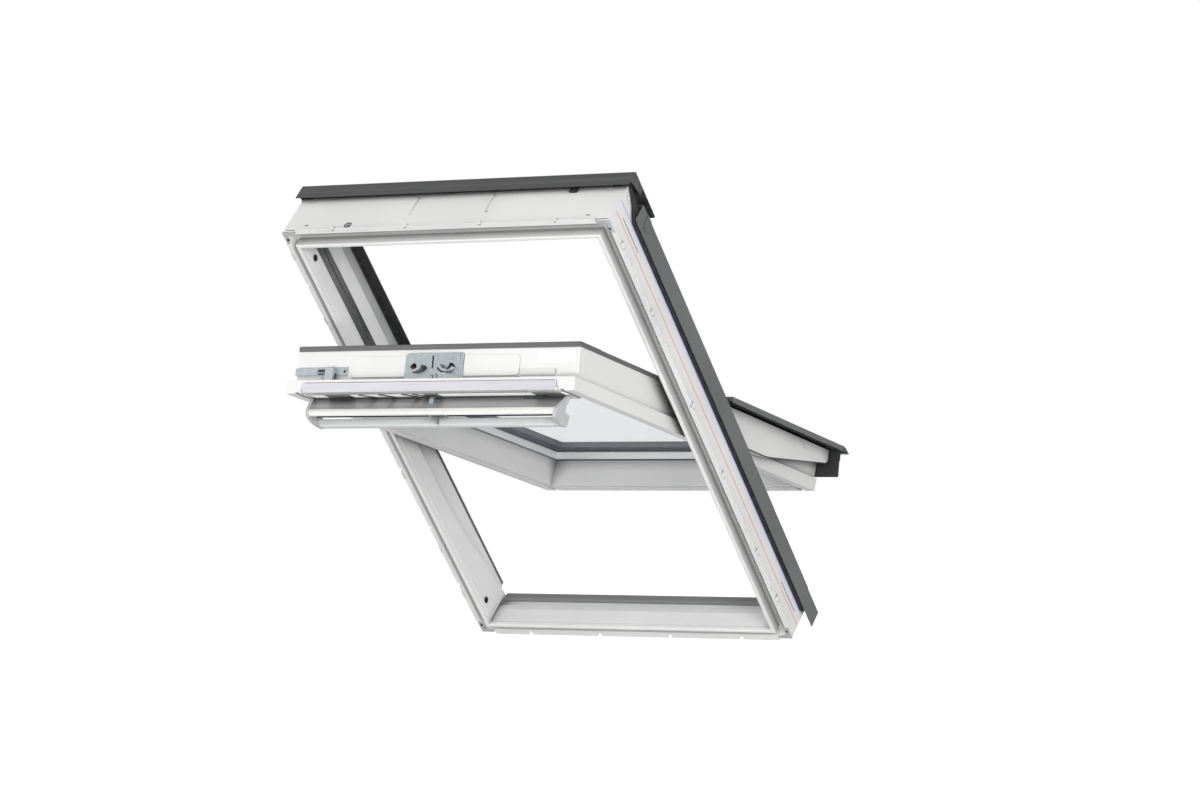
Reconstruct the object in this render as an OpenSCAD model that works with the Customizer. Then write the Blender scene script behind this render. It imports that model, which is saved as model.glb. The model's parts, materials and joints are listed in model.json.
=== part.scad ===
// Centre-pivot roof window: moulded white frame and sash, aluminium covers, double glazing,
// control bar with ventilation flap, rotary-claw lock and barrel bolt. Millimetres.
// Everything is drawn in the window's own flat frame with the sash closed: X to the right seen
// from the room, Y down the slope, Z outward, from the frame's top left corner on the room side.
// opened() then swings what belongs to the sash, and in_roof() tilts the whole to the roof.

/* [Frame] */
// Overall width of the frame
frame_w = 780; // [550:1:1340]
// Overall length of the frame along the slope
frame_h = 1178; // [980:1:1600]
// Depth of the white frame, from its room side to its outer side
frame_d = 107; // [100:1:116]
// Thickness of the frame's members between outer face and inner face
member_t = 36; // [34:1:40]
// Height of the lip that stands into the room beside the lining groove
lip_h = 14; // [8:1:18]
// Depth of the groove that takes the lining boards
groove_d = 11; // [8:1:14]
// Roof pitch at which the window is drawn
pitch = 47; // [15:1:90]

/* [Sash] */
// Gap between the frame's outer face and the side of the sash
sash_inset = 48; // [46:1:54]
// Distance from the frame's top edge down to the sash's upper edge
sash_top = 44; // [43:1:48]
// Distance of the sash's room side behind the frame's room side
sash_back = 27.5; // [26:0.5:30]
// Distance from the frame's lower edge up to the sash's lower edge
sash_foot = 42; // [41:1:48]
// Opening angle of the sash, 0 when closed
open_angle = 36; // [0:1:120]
// Height of the top rail, from the sash's upper edge to its glass opening
top_rail_h = 91; // [85:1:110]
// Width of the sash's other members, seen from the room
stile_w = 34; // [30:1:44]

/* [Glazing] */
// Thickness of each pane
pane_t = 4; // [3:0.5:6]
// Gap between the panes
pane_gap = 16; // [12:1:18]
// Distance that the panes reach behind the sash's inner edge
glass_bite = 16; // [12:1:18]

/* [Covers] */
// Sheet thickness of the aluminium covers
sheet = 2; // [1.5:0.1:2.5]
// Distance that the covers stand out beside the frame
cover_over = 10; // [8:1:14]
// Distance that the side covers reach below the frame
cover_tail = 37; // [20:1:50]

/* [Hinge] */
// Radius of the pivot pins
pin_r = 6; // [4:0.5:7]
// Radial play of a pin in its bore
pin_play = 0.05; // [0.02:0.01:0.1]

/* [Control bar] */
// Length of the control bar
bar_l = 616; // [380:2:1150]
// Height of the ventilation flap's strip
flap_h = 20; // [18:1:22]
// Distance of each flap end from the side of the sash
flap_inset = 41; // [36:1:50]

/* [Lock] */
// Width of the lock plate
lock_w = 130; // [110:2:150]
// Height of the lock plate
lock_h = 56; // [50:1:60]
// Radius of the barrel bolt
bolt_r = 3.5; // [3:0.25:4.5]
// Distance that the barrel bolt travels
bolt_travel = 26; // [20:1:30]

/* [Hidden] */
$fn = 48;
eps = 0.01;

white = [0.93, 0.93, 0.92];
dark_grey = [0.37, 0.37, 0.38];
black = [0.08, 0.08, 0.08];
zinc = [0.74, 0.78, 0.79];
lavender = [0.83, 0.83, 0.85];
bar_grey = [0.5, 0.5, 0.5];
pale_grey = [0.75, 0.75, 0.74];
cream = [0.9, 0.9, 0.88];

// Pivot axis: across the window at mid length, just outside the white frame
pivot_v = frame_h / 2;
pivot_n = frame_d + 20;

// Sash, closed
sash_l = sash_inset;
sash_r = frame_w - sash_inset;
sash_end = frame_h - sash_foot;
body_step = 7;
body_l = sash_l + body_step;
body_r = sash_r - body_step;
body_top = sash_top + 23;
flange_n = sash_back + 28.5;
bed_n = sash_back + 63.5;
sash_n = frame_d + 14;
open_l = sash_l + stile_w;
open_r = sash_r - stile_w;
open_top = sash_top + top_rail_h;
open_end = sash_end - stile_w - 4;
glass_l = open_l - glass_bite;
glass_r = open_r + glass_bite;
glass_top = open_top - glass_bite - 7;
glass_end = open_end + glass_bite + 10;
bead = 1;
glass_n = bed_n + bead;
unit_t = 2 * pane_t + pane_gap;
glass_out = glass_n + unit_t;
edge_gap = 3;
seal_t = 5;
spacer_w = 8;

// Lower half of the sash: flange that laps over the rebated lower half of the jambs
lap_x = 26;
lap_start = pivot_v + 51;
rebate_x = 20;
rebate_start = pivot_v + 25;
rebate_n = 43;
rebate_knee = pivot_v + 265;
rebate_rise = 0.145;
lap_gap = 6;

// Covers
skirt_n = 71;
cover_n = frame_d + 11;
hood_n = frame_d + 30;
hood_inner = sash_l + 17;
hood_end = pivot_v - 92;
casing_out = 13;
casing_v = 85;
sash_cover_n = sash_n + 11;
cover_lap = 38;
nose_v = frame_h - 3;
tail_v = frame_h - 36;

// Control bar hinge, seen in section
bar_axis_v = sash_top + 46;
bar_axis_n = sash_back - 6.5;
bar_x0 = (frame_w - bar_l) / 2;
bar_x1 = bar_x0 + bar_l;
cap_t = 7;
bar_pin_r = 2.5;
flap_l = sash_l + flap_inset;
flap_r = sash_r - flap_inset;

// Lock, on the upper face of the top rail
lock_x = frame_w / 2 - 6;
lock_n = flange_n + 1;
claw_n = lock_n + 33;

// Barrel bolt: its distance from the pivot also places the two bushes in the left jamb
bolt_v = body_top + 7;
bolt_n = flange_n + 21;
bolt_rest = body_l + 1;
vent_angle = 7;
clean_angle = 162;
knob_x = body_l + 96;

// --- helpers ------------------------------------------------------------------------------

// Tilts the closed, flat window to the roof, with the origin in the middle of the lower face
module in_roof() {
    rotate([-pitch, 0, 0]) translate([-frame_w / 2, -frame_h, -frame_d / 2]) children();
}

// Swings what belongs to the sash about the pivot axis
module opened(angle = open_angle) {
    translate([0, pivot_v, pivot_n]) rotate([angle, 0, 0]) translate([0, -pivot_v, -pivot_n])
        children();
}

// Puts a piece that was drawn on the left side on the right side
module on_right() {
    translate([frame_w, 0, 0]) mirror([1, 0, 0]) children();
}

// Extrudes an outline in slope and outward directions across the window
module across(x0, x1) {
    translate([x0, 0, 0]) rotate([90, 0, 90]) linear_extrude(x1 - x0) children();
}

// Extrudes an outline in width and outward directions down the slope
module down(v0, v1) {
    translate([0, v1, 0]) rotate([90, 0, 0]) linear_extrude(v1 - v0) children();
}

module box(x0, x1, v0, v1, n0, n1) {
    translate([x0, v0, n0]) cube([x1 - x0, v1 - v0, n1 - n0]);
}

// Rod across the window
module rod(x0, x1, v, n, r) {
    translate([x0, v, n]) rotate([0, 90, 0]) cylinder(r = r, h = x1 - x0);
}

// Rod square to the window's plane
module stud(x, v, n0, n1, r) {
    translate([x, v, n0]) cylinder(r = r, h = n1 - n0);
}

// Rod along the slope
module slope_rod(x, v0, v1, n, r) {
    translate([x, v1, n]) rotate([90, 0, 0]) cylinder(r = r, h = v1 - v0);
}

// Point of the sash's plane turned about the pivot, as [slope, outward]
function turned(v, n, a) = [
    pivot_v + (v - pivot_v) * cos(a) - (n - pivot_n) * sin(a),
    pivot_n + (v - pivot_v) * sin(a) + (n - pivot_n) * cos(a)];

function bush(i) = turned(bolt_v, bolt_n, i == 0 ? vent_angle : clean_angle);

// Height of the rebate's floor at a place on the lower half of a jamb
function rebate_at(v) = rebate_n + rebate_rise * max(0, v - rebate_knee);

// --- frame --------------------------------------------------------------------------------

groove_in = 26;
shelf_n = 58;
skin = 3;
corner_screw_r = 3;
corner_shank_r = 1.5;
corner_screw_l = 12;
corner_screw_x = 5;
corner_screw_v = [20, frame_h - 20];

// Section shared by the frame's members: distance from the outer face, then outward
module member_section(inner = member_t) {
    polygon([[0, 0], [7, 0], [9, 2], [18, groove_d], [groove_in, groove_d],
        [groove_in, 2 - lip_h], [groove_in + 2, -lip_h], [member_t - 3, -lip_h],
        [member_t - 1, 2 - lip_h], [member_t - 1, -3], [member_t, 0], [member_t, groove_d + 5],
        [inner, groove_d + 11], [inner, frame_d], [0, frame_d]]);
}

// The lower rail has a flat shelf for the sash's lower edge and an upstand along its outer edge
module bottom_section() {
    polygon([[0, 0], [7, 0], [9, 2], [18, groove_d], [groove_in, groove_d],
        [groove_in, 2 - lip_h], [groove_in + 2, -lip_h], [member_t - 3, -lip_h],
        [member_t - 1, 2 - lip_h], [member_t - 1, -4], [member_t - 4, 0],
        [member_t - 4, 40], [member_t - 10, shelf_n], [10, shelf_n], [10, frame_d], [0, frame_d]]);
}

module mitre_top() {
    translate([0, 0, -frame_d]) linear_extrude(3 * frame_d)
        polygon([[0, 0], [frame_w, 0], [frame_w - 60, 60], [60, 60]]);
}

module mitre_bottom() {
    translate([0, frame_h, 0]) mirror([0, 1, 0]) mitre_top();
}

module mitre_left() {
    translate([0, 0, -frame_d]) linear_extrude(3 * frame_d)
        polygon([[0, 0], [60, 60], [60, frame_h - 60], [0, frame_h]]);
}

// Shallow notches for the brackets along the room-side edge of a jamb
module jamb_marks() {
    for (v = [118, 300, 478, 656, 834, 1010])
        if (v < frame_h - 100)
            box(-eps, 2.5, v - 5, v + 5, 8, 17);
    for (v = [33, frame_h - 123])
        box(-eps, 1.5, v, v + 91, 45.6, 47.6);
}

relief_l = 8;

module frame_jamb(bushes = false) {
    difference() {
        intersection() {
            down(0, frame_h) member_section();
            mitre_left();
        }
        across(rebate_x, member_t + 5)
            polygon([[rebate_start, frame_d + 5], [rebate_start, rebate_n + 12],
                [rebate_start + 8, rebate_n + 3], [rebate_start + 20, rebate_n],
                [rebate_knee - 20, rebate_n], [rebate_knee + 20, rebate_at(rebate_knee + 20)],
                [frame_h, rebate_at(frame_h)], [frame_h, frame_d + 5]]);
        // room for the ends of the sash's bottom seal, behind a thin outer skin
        box(skin, member_t + 5, tail_v, frame_h + 1, shelf_n + 2, frame_d + 5);
        jamb_marks();
        for (v = corner_screw_v)
            stud(corner_screw_x, v, -eps, corner_screw_l, corner_shank_r);
        if (bushes) {
            for (i = [0, 1])
                rod(member_t - bush_l, member_t + 1, bush(i)[0], bush(i)[1], bush_r);
            // relief for the tip of the bolt with the sash closed
            rod(member_t - relief_l, member_t + 1, bolt_v, bolt_n, bolt_r + 1);
        }
    }
}

module frame_left_jamb() {
    color(white) in_roof() frame_jamb(true);
}

module frame_right_jamb() {
    color(white) in_roof() on_right() frame_jamb();
}

// Ringed fixing hole in the outer face of the top rail
fixing_r = 4;
fixing_x = 154;
fixing_n = 16;
fixing_l = 12;
ring_r = 8;
ring_l = 2;

module frame_top_rail() {
    color(white) in_roof() difference() {
        intersection() {
            across(0, frame_w) member_section(inner = member_t - 12);
            mitre_top();
        }
        slope_rod(fixing_x, -1, fixing_l, fixing_n, fixing_r);
        slope_rod(fixing_x, -1, ring_l, fixing_n, ring_r);
        // shallow channels and marks of the moulding tool
        for (x = [frame_w * 0.378, frame_w * 0.61])
            box(x - 4, x + 4, -eps, 1.2, 42, 102);
        for (x = [6, frame_w - 98])
            box(x, x + 92, -eps, 1.5, 5, 7);
        for (x = [50, frame_w - 57])
            box(x - 5, x + 5, -eps, 3, 18, 21);
        // seat of the striker
        box(striker_x0, striker_x1, member_t - 15, member_t, striker_n0, striker_n1);
        for (x = striker_screw_x)
            slope_rod(x, 6, member_t, striker_n, striker_pilot_r);
    }
}

module frame_bottom_rail() {
    color(white) in_roof() intersection() {
        translate([0, frame_h, 0]) mirror([0, 1, 0]) across(0, frame_w) bottom_section();
        mitre_bottom();
    }
}

// Grey corner plates, laid over the outer corner of the groove's edge
plate_t = 2;
plate_w = 30;

module corner_plate() {
    difference() {
        translate([0, 0, -plate_t]) linear_extrude(plate_t)
            polygon([[-1, -1], [plate_w, -1], [plate_w, 4], [groove_in - 14, 7], [9, 9],
                [7, groove_in - 14], [4, plate_w], [-1, plate_w]]);
        stud(corner_screw_x, corner_screw_v[0], -plate_t - 1, 1, corner_screw_r);
    }
}

module frame_corner_plates() {
    color(pale_grey) in_roof() {
        corner_plate();
        on_right() corner_plate();
        translate([0, frame_h, 0]) mirror([0, 1, 0]) corner_plate();
        translate([0, frame_h, 0]) mirror([0, 1, 0]) on_right() corner_plate();
    }
}

module frame_corner_screws() {
    color(black) in_roof()
        for (x = [corner_screw_x, frame_w - corner_screw_x])
            for (v = corner_screw_v)
                difference() {
                    union() {
                        stud(x, v, -plate_t, 0, corner_screw_r);
                        stud(x, v, 0, corner_screw_l, corner_shank_r);
                    }
                    translate([x, v, -plate_t - eps]) cylinder(r = 1.6, h = 1.2, $fn = 6);
                }
}

// Segmented strips along the groove's outer edge, with notches between their lengths
strip_out = 5;
strip_t = 2.2;
notch_w = 5;
notch_pitch = 177;

module edge_strip(length, out) {
    pairs = floor((length / 2 - 2 * plate_w) / notch_pitch + 0.5);
    difference() {
        box(plate_w + 2, length - plate_w - 2, -out, 0, 0, strip_t);
        for (k = [0:pairs - 1])
            for (side = [-1, 1])
                translate([length / 2 + side * (k + 0.5) * notch_pitch, 0, -1])
                    linear_extrude(strip_t + 2)
                        polygon([[-notch_w, -out - 1], [notch_w, -out - 1], [notch_w / 2, 1],
                            [-notch_w / 2, 1]]);
    }
}

module frame_edge_flanges() {
    color(white) in_roof() {
        edge_strip(frame_w, strip_out);
        translate([0, frame_h, 0]) mirror([0, 1, 0]) edge_strip(frame_w, strip_out + 4);
        mirror([1, -1, 0]) edge_strip(frame_h, strip_out);
        on_right() mirror([1, -1, 0]) edge_strip(frame_h, strip_out);
    }
}

// --- covers of the frame ------------------------------------------------------------------

// Casing over the top of the frame, with a short leg down each side
module top_casing() {
    leg_v = 34;
    tab_v = 106;
    x0 = -cover_over;
    x1 = frame_w + cover_over;
    color(dark_grey) in_roof() {
        across(x0, x1)
            polygon([[-casing_out, frame_d - 9], [sheet - casing_out, frame_d - 9],
                [sheet - casing_out, hood_n - sheet], [casing_v, hood_n - sheet], [casing_v, hood_n],
                [2 - casing_out, hood_n], [-casing_out, hood_n - 2]]);
        for (x = [x0, x1 - sheet])
            across(x, x + sheet)
                polygon([[sheet - casing_out, frame_d + 1], [leg_v, frame_d + 1 + 12],
                    [leg_v, hood_n - sheet], [sheet - casing_out, hood_n - sheet]]);
        for (x = [x0, x1 - 26])
            across(x, x + 26)
                polygon([[casing_v, hood_n - sheet], [tab_v - 3, hood_n - sheet], [tab_v, hood_n - 4],
                    [tab_v, hood_n - 1], [tab_v - 2, hood_n], [casing_v, hood_n]]);
    }
}

// Long cover down each side of the frame
module side_cover() {
    start = 58;
    end = frame_h + cover_tail;
    difference() {
        down(start, end)
            polygon([[-cover_over, skirt_n], [sheet - cover_over, skirt_n],
                [sheet - cover_over, cover_n - sheet], [rebate_x - sheet - 2, cover_n - sheet],
                [rebate_x - sheet - 2, frame_d + 4], [rebate_x - 2, frame_d + 4], [rebate_x - 2, cover_n],
                [2 - cover_over, cover_n], [-cover_over, cover_n - 2]]);
        // below the sash's bottom seal only the skirt goes on
        box(sheet - cover_over, rebate_x, tail_v - 1, end + 1, skirt_n - 1, cover_n + 1);
        box(-cover_over - 1, rebate_x, tail_v - 1, end + 1, cover_n - 4, cover_n + 1);
        // rounded lower corner at the upper end of the skirt
        across(-cover_over - 1, sheet - cover_over + 1) difference() {
            translate([start - 1, skirt_n - 1]) square([9, 11]);
            translate([start + 8, skirt_n + 10]) circle(r = 9);
        }
    }
}

module side_cover_left() {
    color(dark_grey) in_roof() side_cover();
}

module side_cover_right() {
    color(dark_grey) in_roof() on_right() side_cover();
}

// Raised inner cover of the upper half: it laps over the edge of the sash
module upper_cover() {
    hood_out = rebate_x + 2;
    down(casing_v + 0.5, hood_end)
        polygon([[hood_out, frame_d], [hood_out + sheet, frame_d], [hood_out + sheet, hood_n - sheet],
            [hood_inner, hood_n - sheet], [hood_inner, hood_n], [hood_out + 2, hood_n],
            [hood_out, hood_n - 2]]);
}

module upper_cover_left() {
    color(dark_grey) in_roof() upper_cover();
}

module upper_cover_right() {
    color(dark_grey) in_roof() on_right() upper_cover();
}

// Strip along the upstand of the lower rail
module bottom_frame_cover() {
    color(dark_grey) in_roof() across(rebate_x + 2, frame_w - rebate_x - 2)
        polygon([[frame_h - 12, frame_d - 22], [frame_h - 10, frame_d - 22], [frame_h - 10, frame_d],
            [frame_h, frame_d], [frame_h, frame_d - 14], [frame_h + 2, frame_d - 14],
            [frame_h + 2, frame_d + 2], [frame_h - 12, frame_d + 2]]);
}

// Rubber between the side covers and the frame, and inside the upper covers
module cover_gaskets() {
    color(black) in_roof() {
        for (side = [0, 1])
            translate([side * frame_w, 0, 0]) mirror([side, 0, 0]) {
                down(62, tail_v - 2)
                    polygon([[0, skirt_n + 6], [0, frame_d], [rebate_x - sheet - 4, frame_d],
                        [rebate_x - sheet - 4, cover_n - sheet], [sheet - cover_over, cover_n - sheet],
                        [sheet - cover_over, skirt_n + 6]]);
                down(casing_v + 2, hood_end - 2)
                    polygon([[rebate_x + 2 + sheet, frame_d], [member_t, frame_d],
                        [member_t, hood_n - sheet - 6], [member_t + 6, hood_n - sheet - 3],
                        [member_t + 6, hood_n - sheet], [rebate_x + 2 + sheet, hood_n - sheet]]);
            }
        across(member_t, frame_w - member_t)
            polygon([[sheet - casing_out, frame_d], [member_t - 14, frame_d],
                [member_t - 14, hood_n - sheet], [sheet - casing_out, hood_n - sheet]]);
    }
}

// Tab with a hole at the upper end of each side cover, and a clip on the top rail
module cover_clips() {
    tab_t = 1.5;
    color(dark_grey) in_roof() {
        for (side = [0, 1])
            translate([side * frame_w, 0, 0]) mirror([side, 0, 0])
                difference() {
                    across(-cover_over - tab_t, -cover_over)
                        polygon([[84, cover_n - 2], [104, cover_n - 2], [106, 88], [100, 84], [90, 84]]);
                    rod(-cover_over - tab_t - 1, -cover_over + 1, 97, 90, 2);
                }
        box(frame_w * 0.83, frame_w * 0.83 + 14, -3, 0, frame_d - 10, frame_d);
    }
}

// --- seals of the frame -------------------------------------------------------------------

seal_x = member_t + 7;

module jamb_seals() {
    color([0.3, 0.31, 0.31]) in_roof()
        for (side = [0, 1])
            translate([side * frame_w, 0, 0]) mirror([side, 0, 0])
                down(member_t + 2, pivot_v - hinge_half - 4) {
                    polygon([[member_t, 33], [member_t + 3, 33], [seal_x, 40], [member_t + 3, 43],
                        [member_t, 43]]);
                    polygon([[member_t, 49], [member_t + 3, 49], [seal_x, 58], [member_t + 3, 61],
                        [member_t, 61]]);
                }
}

module top_rail_seal() {
    color(black) in_roof() difference() {
        across(member_t + 1, frame_w - member_t - 1)
            polygon([[member_t - 12, 64], [member_t - 9, 64], [member_t + 8, 70], [member_t - 9, 74],
                [member_t - 12, 74]]);
        box(striker_x0 - 1, striker_x1 + 1, 0, 2 * member_t, striker_n0 - 1, striker_n1 + 1);
    }
}

module bottom_rail_seal() {
    color(black) in_roof() across(member_t + 1, frame_w - member_t - 1)
        polygon([[frame_h - 24, shelf_n], [frame_h - 14, shelf_n], [frame_h - 17, shelf_n + 4],
            [frame_h - 21, shelf_n + 4]]);
}

// --- pivot hinges -------------------------------------------------------------------------

hinge_t = 3;
hinge_half = 34;
hinge_foot_n = 50;
hinge_head = 14;
washer_t = 5.5;
sash_plate_t = 4;
hub_x = member_t + hinge_t + washer_t + 0.5;
hinge_pin_end = body_l - 2;
hinge_screw_r = 2.2;
hinge_screw_l = 16;
frame_hinge_n = [60, 78, 96];
sash_hinge_v = [-28, 4, 34];
sash_hinge_n = flange_n + 22;

// Steel plate on the jamb, drawn up over the frame to carry the pin
module frame_hinge() {
    difference() {
        union() {
            across(member_t, member_t + hinge_t)
                polygon([[pivot_v - hinge_half, hinge_foot_n], [pivot_v + 18, hinge_foot_n],
                    [pivot_v + 18, frame_d - 3], [pivot_v + hinge_head, pivot_n], [pivot_v + 6, pivot_n + 12],
                    [pivot_v - 6, pivot_n + 12], [pivot_v - hinge_head, pivot_n],
                    [pivot_v - hinge_half, frame_d - 3]]);
            rod(member_t + hinge_t, hinge_pin_end, pivot_v, pivot_n, pin_r);
            rod(member_t + hinge_t, member_t + hinge_t + washer_t, pivot_v, pivot_n, pin_r + 4);
        }
        for (n = frame_hinge_n)
            rod(member_t - 1, member_t + hinge_t + 1, pivot_v - 22, n, hinge_screw_r);
    }
}

module frame_hinge_left() {
    color(zinc) in_roof() frame_hinge();
}

module frame_hinge_right() {
    color(zinc) in_roof() on_right() frame_hinge();
}

module frame_hinge_screws() {
    color(zinc) in_roof()
        for (side = [0, 1])
            translate([side * frame_w, 0, 0]) mirror([side, 0, 0])
                for (n = frame_hinge_n) {
                    rod(member_t, member_t + hinge_t, pivot_v - 22, n, hinge_screw_r);
                    rod(member_t + hinge_t, member_t + hinge_t + 1.4, pivot_v - 22, n, 4);
                }
}

// Steel plate on the stile, with a hub that runs on the pin
module sash_hinge() {
    difference() {
        union() {
            across(body_l - sash_plate_t, body_l)
                polygon([[pivot_v - 40, flange_n + 8], [pivot_v + 44, flange_n + 8],
                    [pivot_v + 44, flange_n + 38], [pivot_v + hinge_head, pivot_n],
                    [pivot_v + 6, pivot_n + 12], [pivot_v - 6, pivot_n + 12],
                    [pivot_v - hinge_head, pivot_n], [pivot_v - 40, flange_n + 38]]);
            rod(hub_x, body_l, pivot_v, pivot_n, pin_r + 4);
        }
        rod(hub_x - 1, body_l + 1, pivot_v, pivot_n, pin_r + pin_play);
        for (v = sash_hinge_v)
            rod(hub_x - 1, body_l + 1, pivot_v + v, sash_hinge_n, hinge_screw_r);
    }
}

module sash_hinge_left() {
    color(zinc) in_roof() opened() sash_hinge();
}

module sash_hinge_right() {
    color(zinc) in_roof() opened() on_right() sash_hinge();
}

module sash_hinge_screws() {
    color(zinc) in_roof() opened()
        for (side = [0, 1])
            translate([side * frame_w, 0, 0]) mirror([side, 0, 0])
                for (v = sash_hinge_v) {
                    rod(body_l - sash_plate_t, body_l, pivot_v + v, sash_hinge_n, hinge_screw_r);
                    rod(body_l - sash_plate_t - 1.4, body_l - sash_plate_t, pivot_v + v, sash_hinge_n, 4);
                }
}

// --- striker and bolt bushes --------------------------------------------------------------

striker_x0 = lock_x - 42;
striker_x1 = lock_x + 42;
striker_n = claw_n - 20;
striker_n0 = striker_n - 14;
striker_n1 = striker_n + 14;
striker_t = 3;
striker_neck = 5;
striker_head = 16;
striker_screw_x = [lock_x - 32, lock_x + 32];
striker_pilot_r = 2;
head_v = body_top - 9;

// Plate on the top rail with an anchor-shaped tongue that the claws close round
module striker() {
    color(zinc) in_roof() difference() {
        union() {
            box(striker_x0, striker_x1, member_t - 12 - striker_t, member_t - 12, striker_n0, striker_n1);
            translate([lock_x, 0, striker_n - 2.5]) linear_extrude(5)
                polygon([[-9, member_t - 12], [-striker_neck, head_v - 9], [-striker_head, head_v - 9],
                    [-striker_head, head_v - 3], [3 - striker_head, head_v], [striker_head - 3, head_v],
                    [striker_head, head_v - 3], [striker_head, head_v - 9], [striker_neck, head_v - 9],
                    [9, member_t - 12]]);
        }
        for (x = striker_screw_x)
            slope_rod(x, member_t - 20, member_t - 10, striker_n, 2.2);
    }
}

module striker_screws() {
    color(zinc) in_roof()
        for (x = striker_screw_x) {
            slope_rod(x, 8, member_t - 12 - striker_t, striker_n, striker_pilot_r);
            slope_rod(x, member_t - 12 - striker_t, member_t - 12, striker_n, 2.2);
            slope_rod(x, member_t - 12, member_t - 10.4, striker_n, 4.2);
        }
}

bush_r = 6;
bush_l = 9;
bush_play = 0.8;

// Bushes in the left jamb: the upper one holds the sash ajar, the lower one turned for cleaning
module bolt_bushes() {
    color(black) in_roof()
        for (i = [0, 1])
            difference() {
                union() {
                    rod(member_t - bush_l, member_t, bush(i)[0], bush(i)[1], bush_r);
                    rod(member_t, member_t + 1, bush(i)[0], bush(i)[1], bush_r + 1.5);
                }
                rod(member_t - bush_l + 1, member_t + 2, bush(i)[0], bush(i)[1], bolt_r + bush_play);
            }
}

// --- sash members -------------------------------------------------------------------------

strip_w = 22;
step_d = 3.5;
bevel = 5;

// Section of a stile: strip on the room side, step, bevelled inner face, bed for the glass
module stile_section() {
    polygon([[sash_l, sash_back], [sash_l + strip_w, sash_back], [sash_l + strip_w + 1, sash_back + step_d],
        [open_l - 3, sash_back + step_d], [open_l - 3 + bevel, bed_n], [glass_l - edge_gap, bed_n],
        [glass_l - edge_gap, sash_n], [body_l, sash_n], [body_l, flange_n], [sash_l, flange_n]]);
}

// Side outline that ends a stile above and below
module stile_outline() {
    polygon([[sash_top, sash_back], [sash_end, sash_back], [sash_end, sash_back + 2.5], [foot_v, foot_n],
        [foot_v, sash_n], [body_top, sash_n], [body_top, flange_n], [sash_top, flange_n]]);
}

// Outer side of the bottom rail: it leans out to the bottom seal
foot_v = sash_end + 15;
foot_n = bed_n + 4;

function lap_at(v) = rebate_at(v) + lap_gap;

// Flange of the lower half, which laps over the rebate of the jamb
module lap_outline() {
    lap_end = foot_v - 5;
    lap_r = 12;
    low = lap_at(lap_end);
    polygon([[lap_start, lap_at(lap_start) + 4], [lap_start + 4, lap_at(lap_start)],
        [rebate_knee - 20, lap_at(rebate_knee - 20)], [rebate_knee + 20, lap_at(rebate_knee + 20)],
        [lap_end - lap_r, lap_at(lap_end - lap_r)],
        for (a = [-80:20:0]) [lap_end - lap_r + lap_r * cos(a), low - 0.5 + lap_r + lap_r * sin(a)],
        [lap_end, sash_n], [lap_start, sash_n]]);
}

// Space that the stiles take, for cutting the ends of the rails to them
module stile_space() {
    down(0, frame_h + 50)
        polygon([[0, 0], [open_l - 3, 0], [open_l - 3, sash_back + step_d], [open_l - 3 + bevel, bed_n],
            [glass_l - edge_gap, bed_n], [glass_l - edge_gap, sash_n + 5], [0, sash_n + 5]]);
}

pocket_d = 16;
bolt_half = 10.5;
housing_end = knob_x + 30;

module bolt_pocket() {
    box(body_l - 1, housing_end, body_top - 1, body_top + pocket_d, bolt_n - bolt_half, bolt_n + bolt_half);
}

module stile() {
    union() {
        intersection() {
            down(sash_top, foot_v) stile_section();
            across(0, frame_w) stile_outline();
        }
        across(lap_x, body_l) lap_outline();
    }
}

module sash_left_stile() {
    color(white) in_roof() opened() difference() {
        stile();
        bolt_pocket();
    }
}

module sash_right_stile() {
    color(white) in_roof() opened() on_right() stile();
}

channel_d = 16;
channel_n0 = sash_back + 5.5;
channel_n1 = sash_back + 22.5;
case_half = 58;
case_d = 24;
case_n0 = lock_n + 2;
case_n1 = lock_n + lock_h - 3;

module sash_top_rail() {
    color(white) in_roof() opened() difference() {
        union() {
            across(0, frame_w)
                polygon([[sash_top, sash_back], [open_top - 9, sash_back], [open_top - 8, sash_back + step_d],
                    [open_top - 3, sash_back + step_d], [open_top - 3 + bevel, bed_n],
                    [glass_top - edge_gap, bed_n], [glass_top - edge_gap, sash_n], [body_top, sash_n],
                    [body_top, flange_n], [sash_top, flange_n]]);
            // eyes for the flap's pivot pins
            for (x = [flap_l - 5, flap_r + 1])
                box(x, x + 4, flap_v - 2.6, sash_top, sash_back, flap_n + 3);
        }
        stile_space();
        on_right() stile_space();
        bolt_pocket();
        // pocket of the lock case, channel of the air filter, bores of the flap's pins
        box(lock_x - case_half, lock_x + case_half, body_top - 1, body_top + case_d, case_n0, case_n1);
        box(flap_l + 6, flap_r - 6, sash_top - 1, sash_top + channel_d, channel_n0, channel_n1);
        rod(flap_l - 6, flap_r + 6, flap_v, flap_n, flap_pin_r + pin_play);
    }
}

module sash_bottom_rail() {
    color(white) in_roof() opened() difference() {
        across(0, frame_w)
            polygon([[sash_end, sash_back], [sash_end, sash_back + 2.5], [foot_v, foot_n], [foot_v, sash_n],
                [glass_end + edge_gap, sash_n], [glass_end + edge_gap, bed_n], [open_end + 6, bed_n],
                [open_end, sash_back + step_d], [open_end + 9, sash_back + step_d],
                [open_end + 10, sash_back]]);
        stile_space();
        on_right() stile_space();
    }
}

// --- glazing ------------------------------------------------------------------------------

module pane(n) {
    box(glass_l, glass_r, glass_top, glass_end, n, n + pane_t);
}

module glass_inner() {
    color([0.8, 0.88, 0.95, 0.4]) in_roof() opened() pane(glass_n);
}

module glass_outer() {
    color([0.8, 0.88, 0.95, 0.4]) in_roof() opened() pane(glass_out - pane_t);
}

// Closed ring between two distances from the glass's edge
module glass_ring(outer, inner, n0, n1) {
    difference() {
        box(glass_l + outer, glass_r - outer, glass_top + outer, glass_end - outer, n0, n1);
        box(glass_l + inner, glass_r - inner, glass_top + inner, glass_end - inner, n0 - 1, n1 + 1);
    }
}

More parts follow.
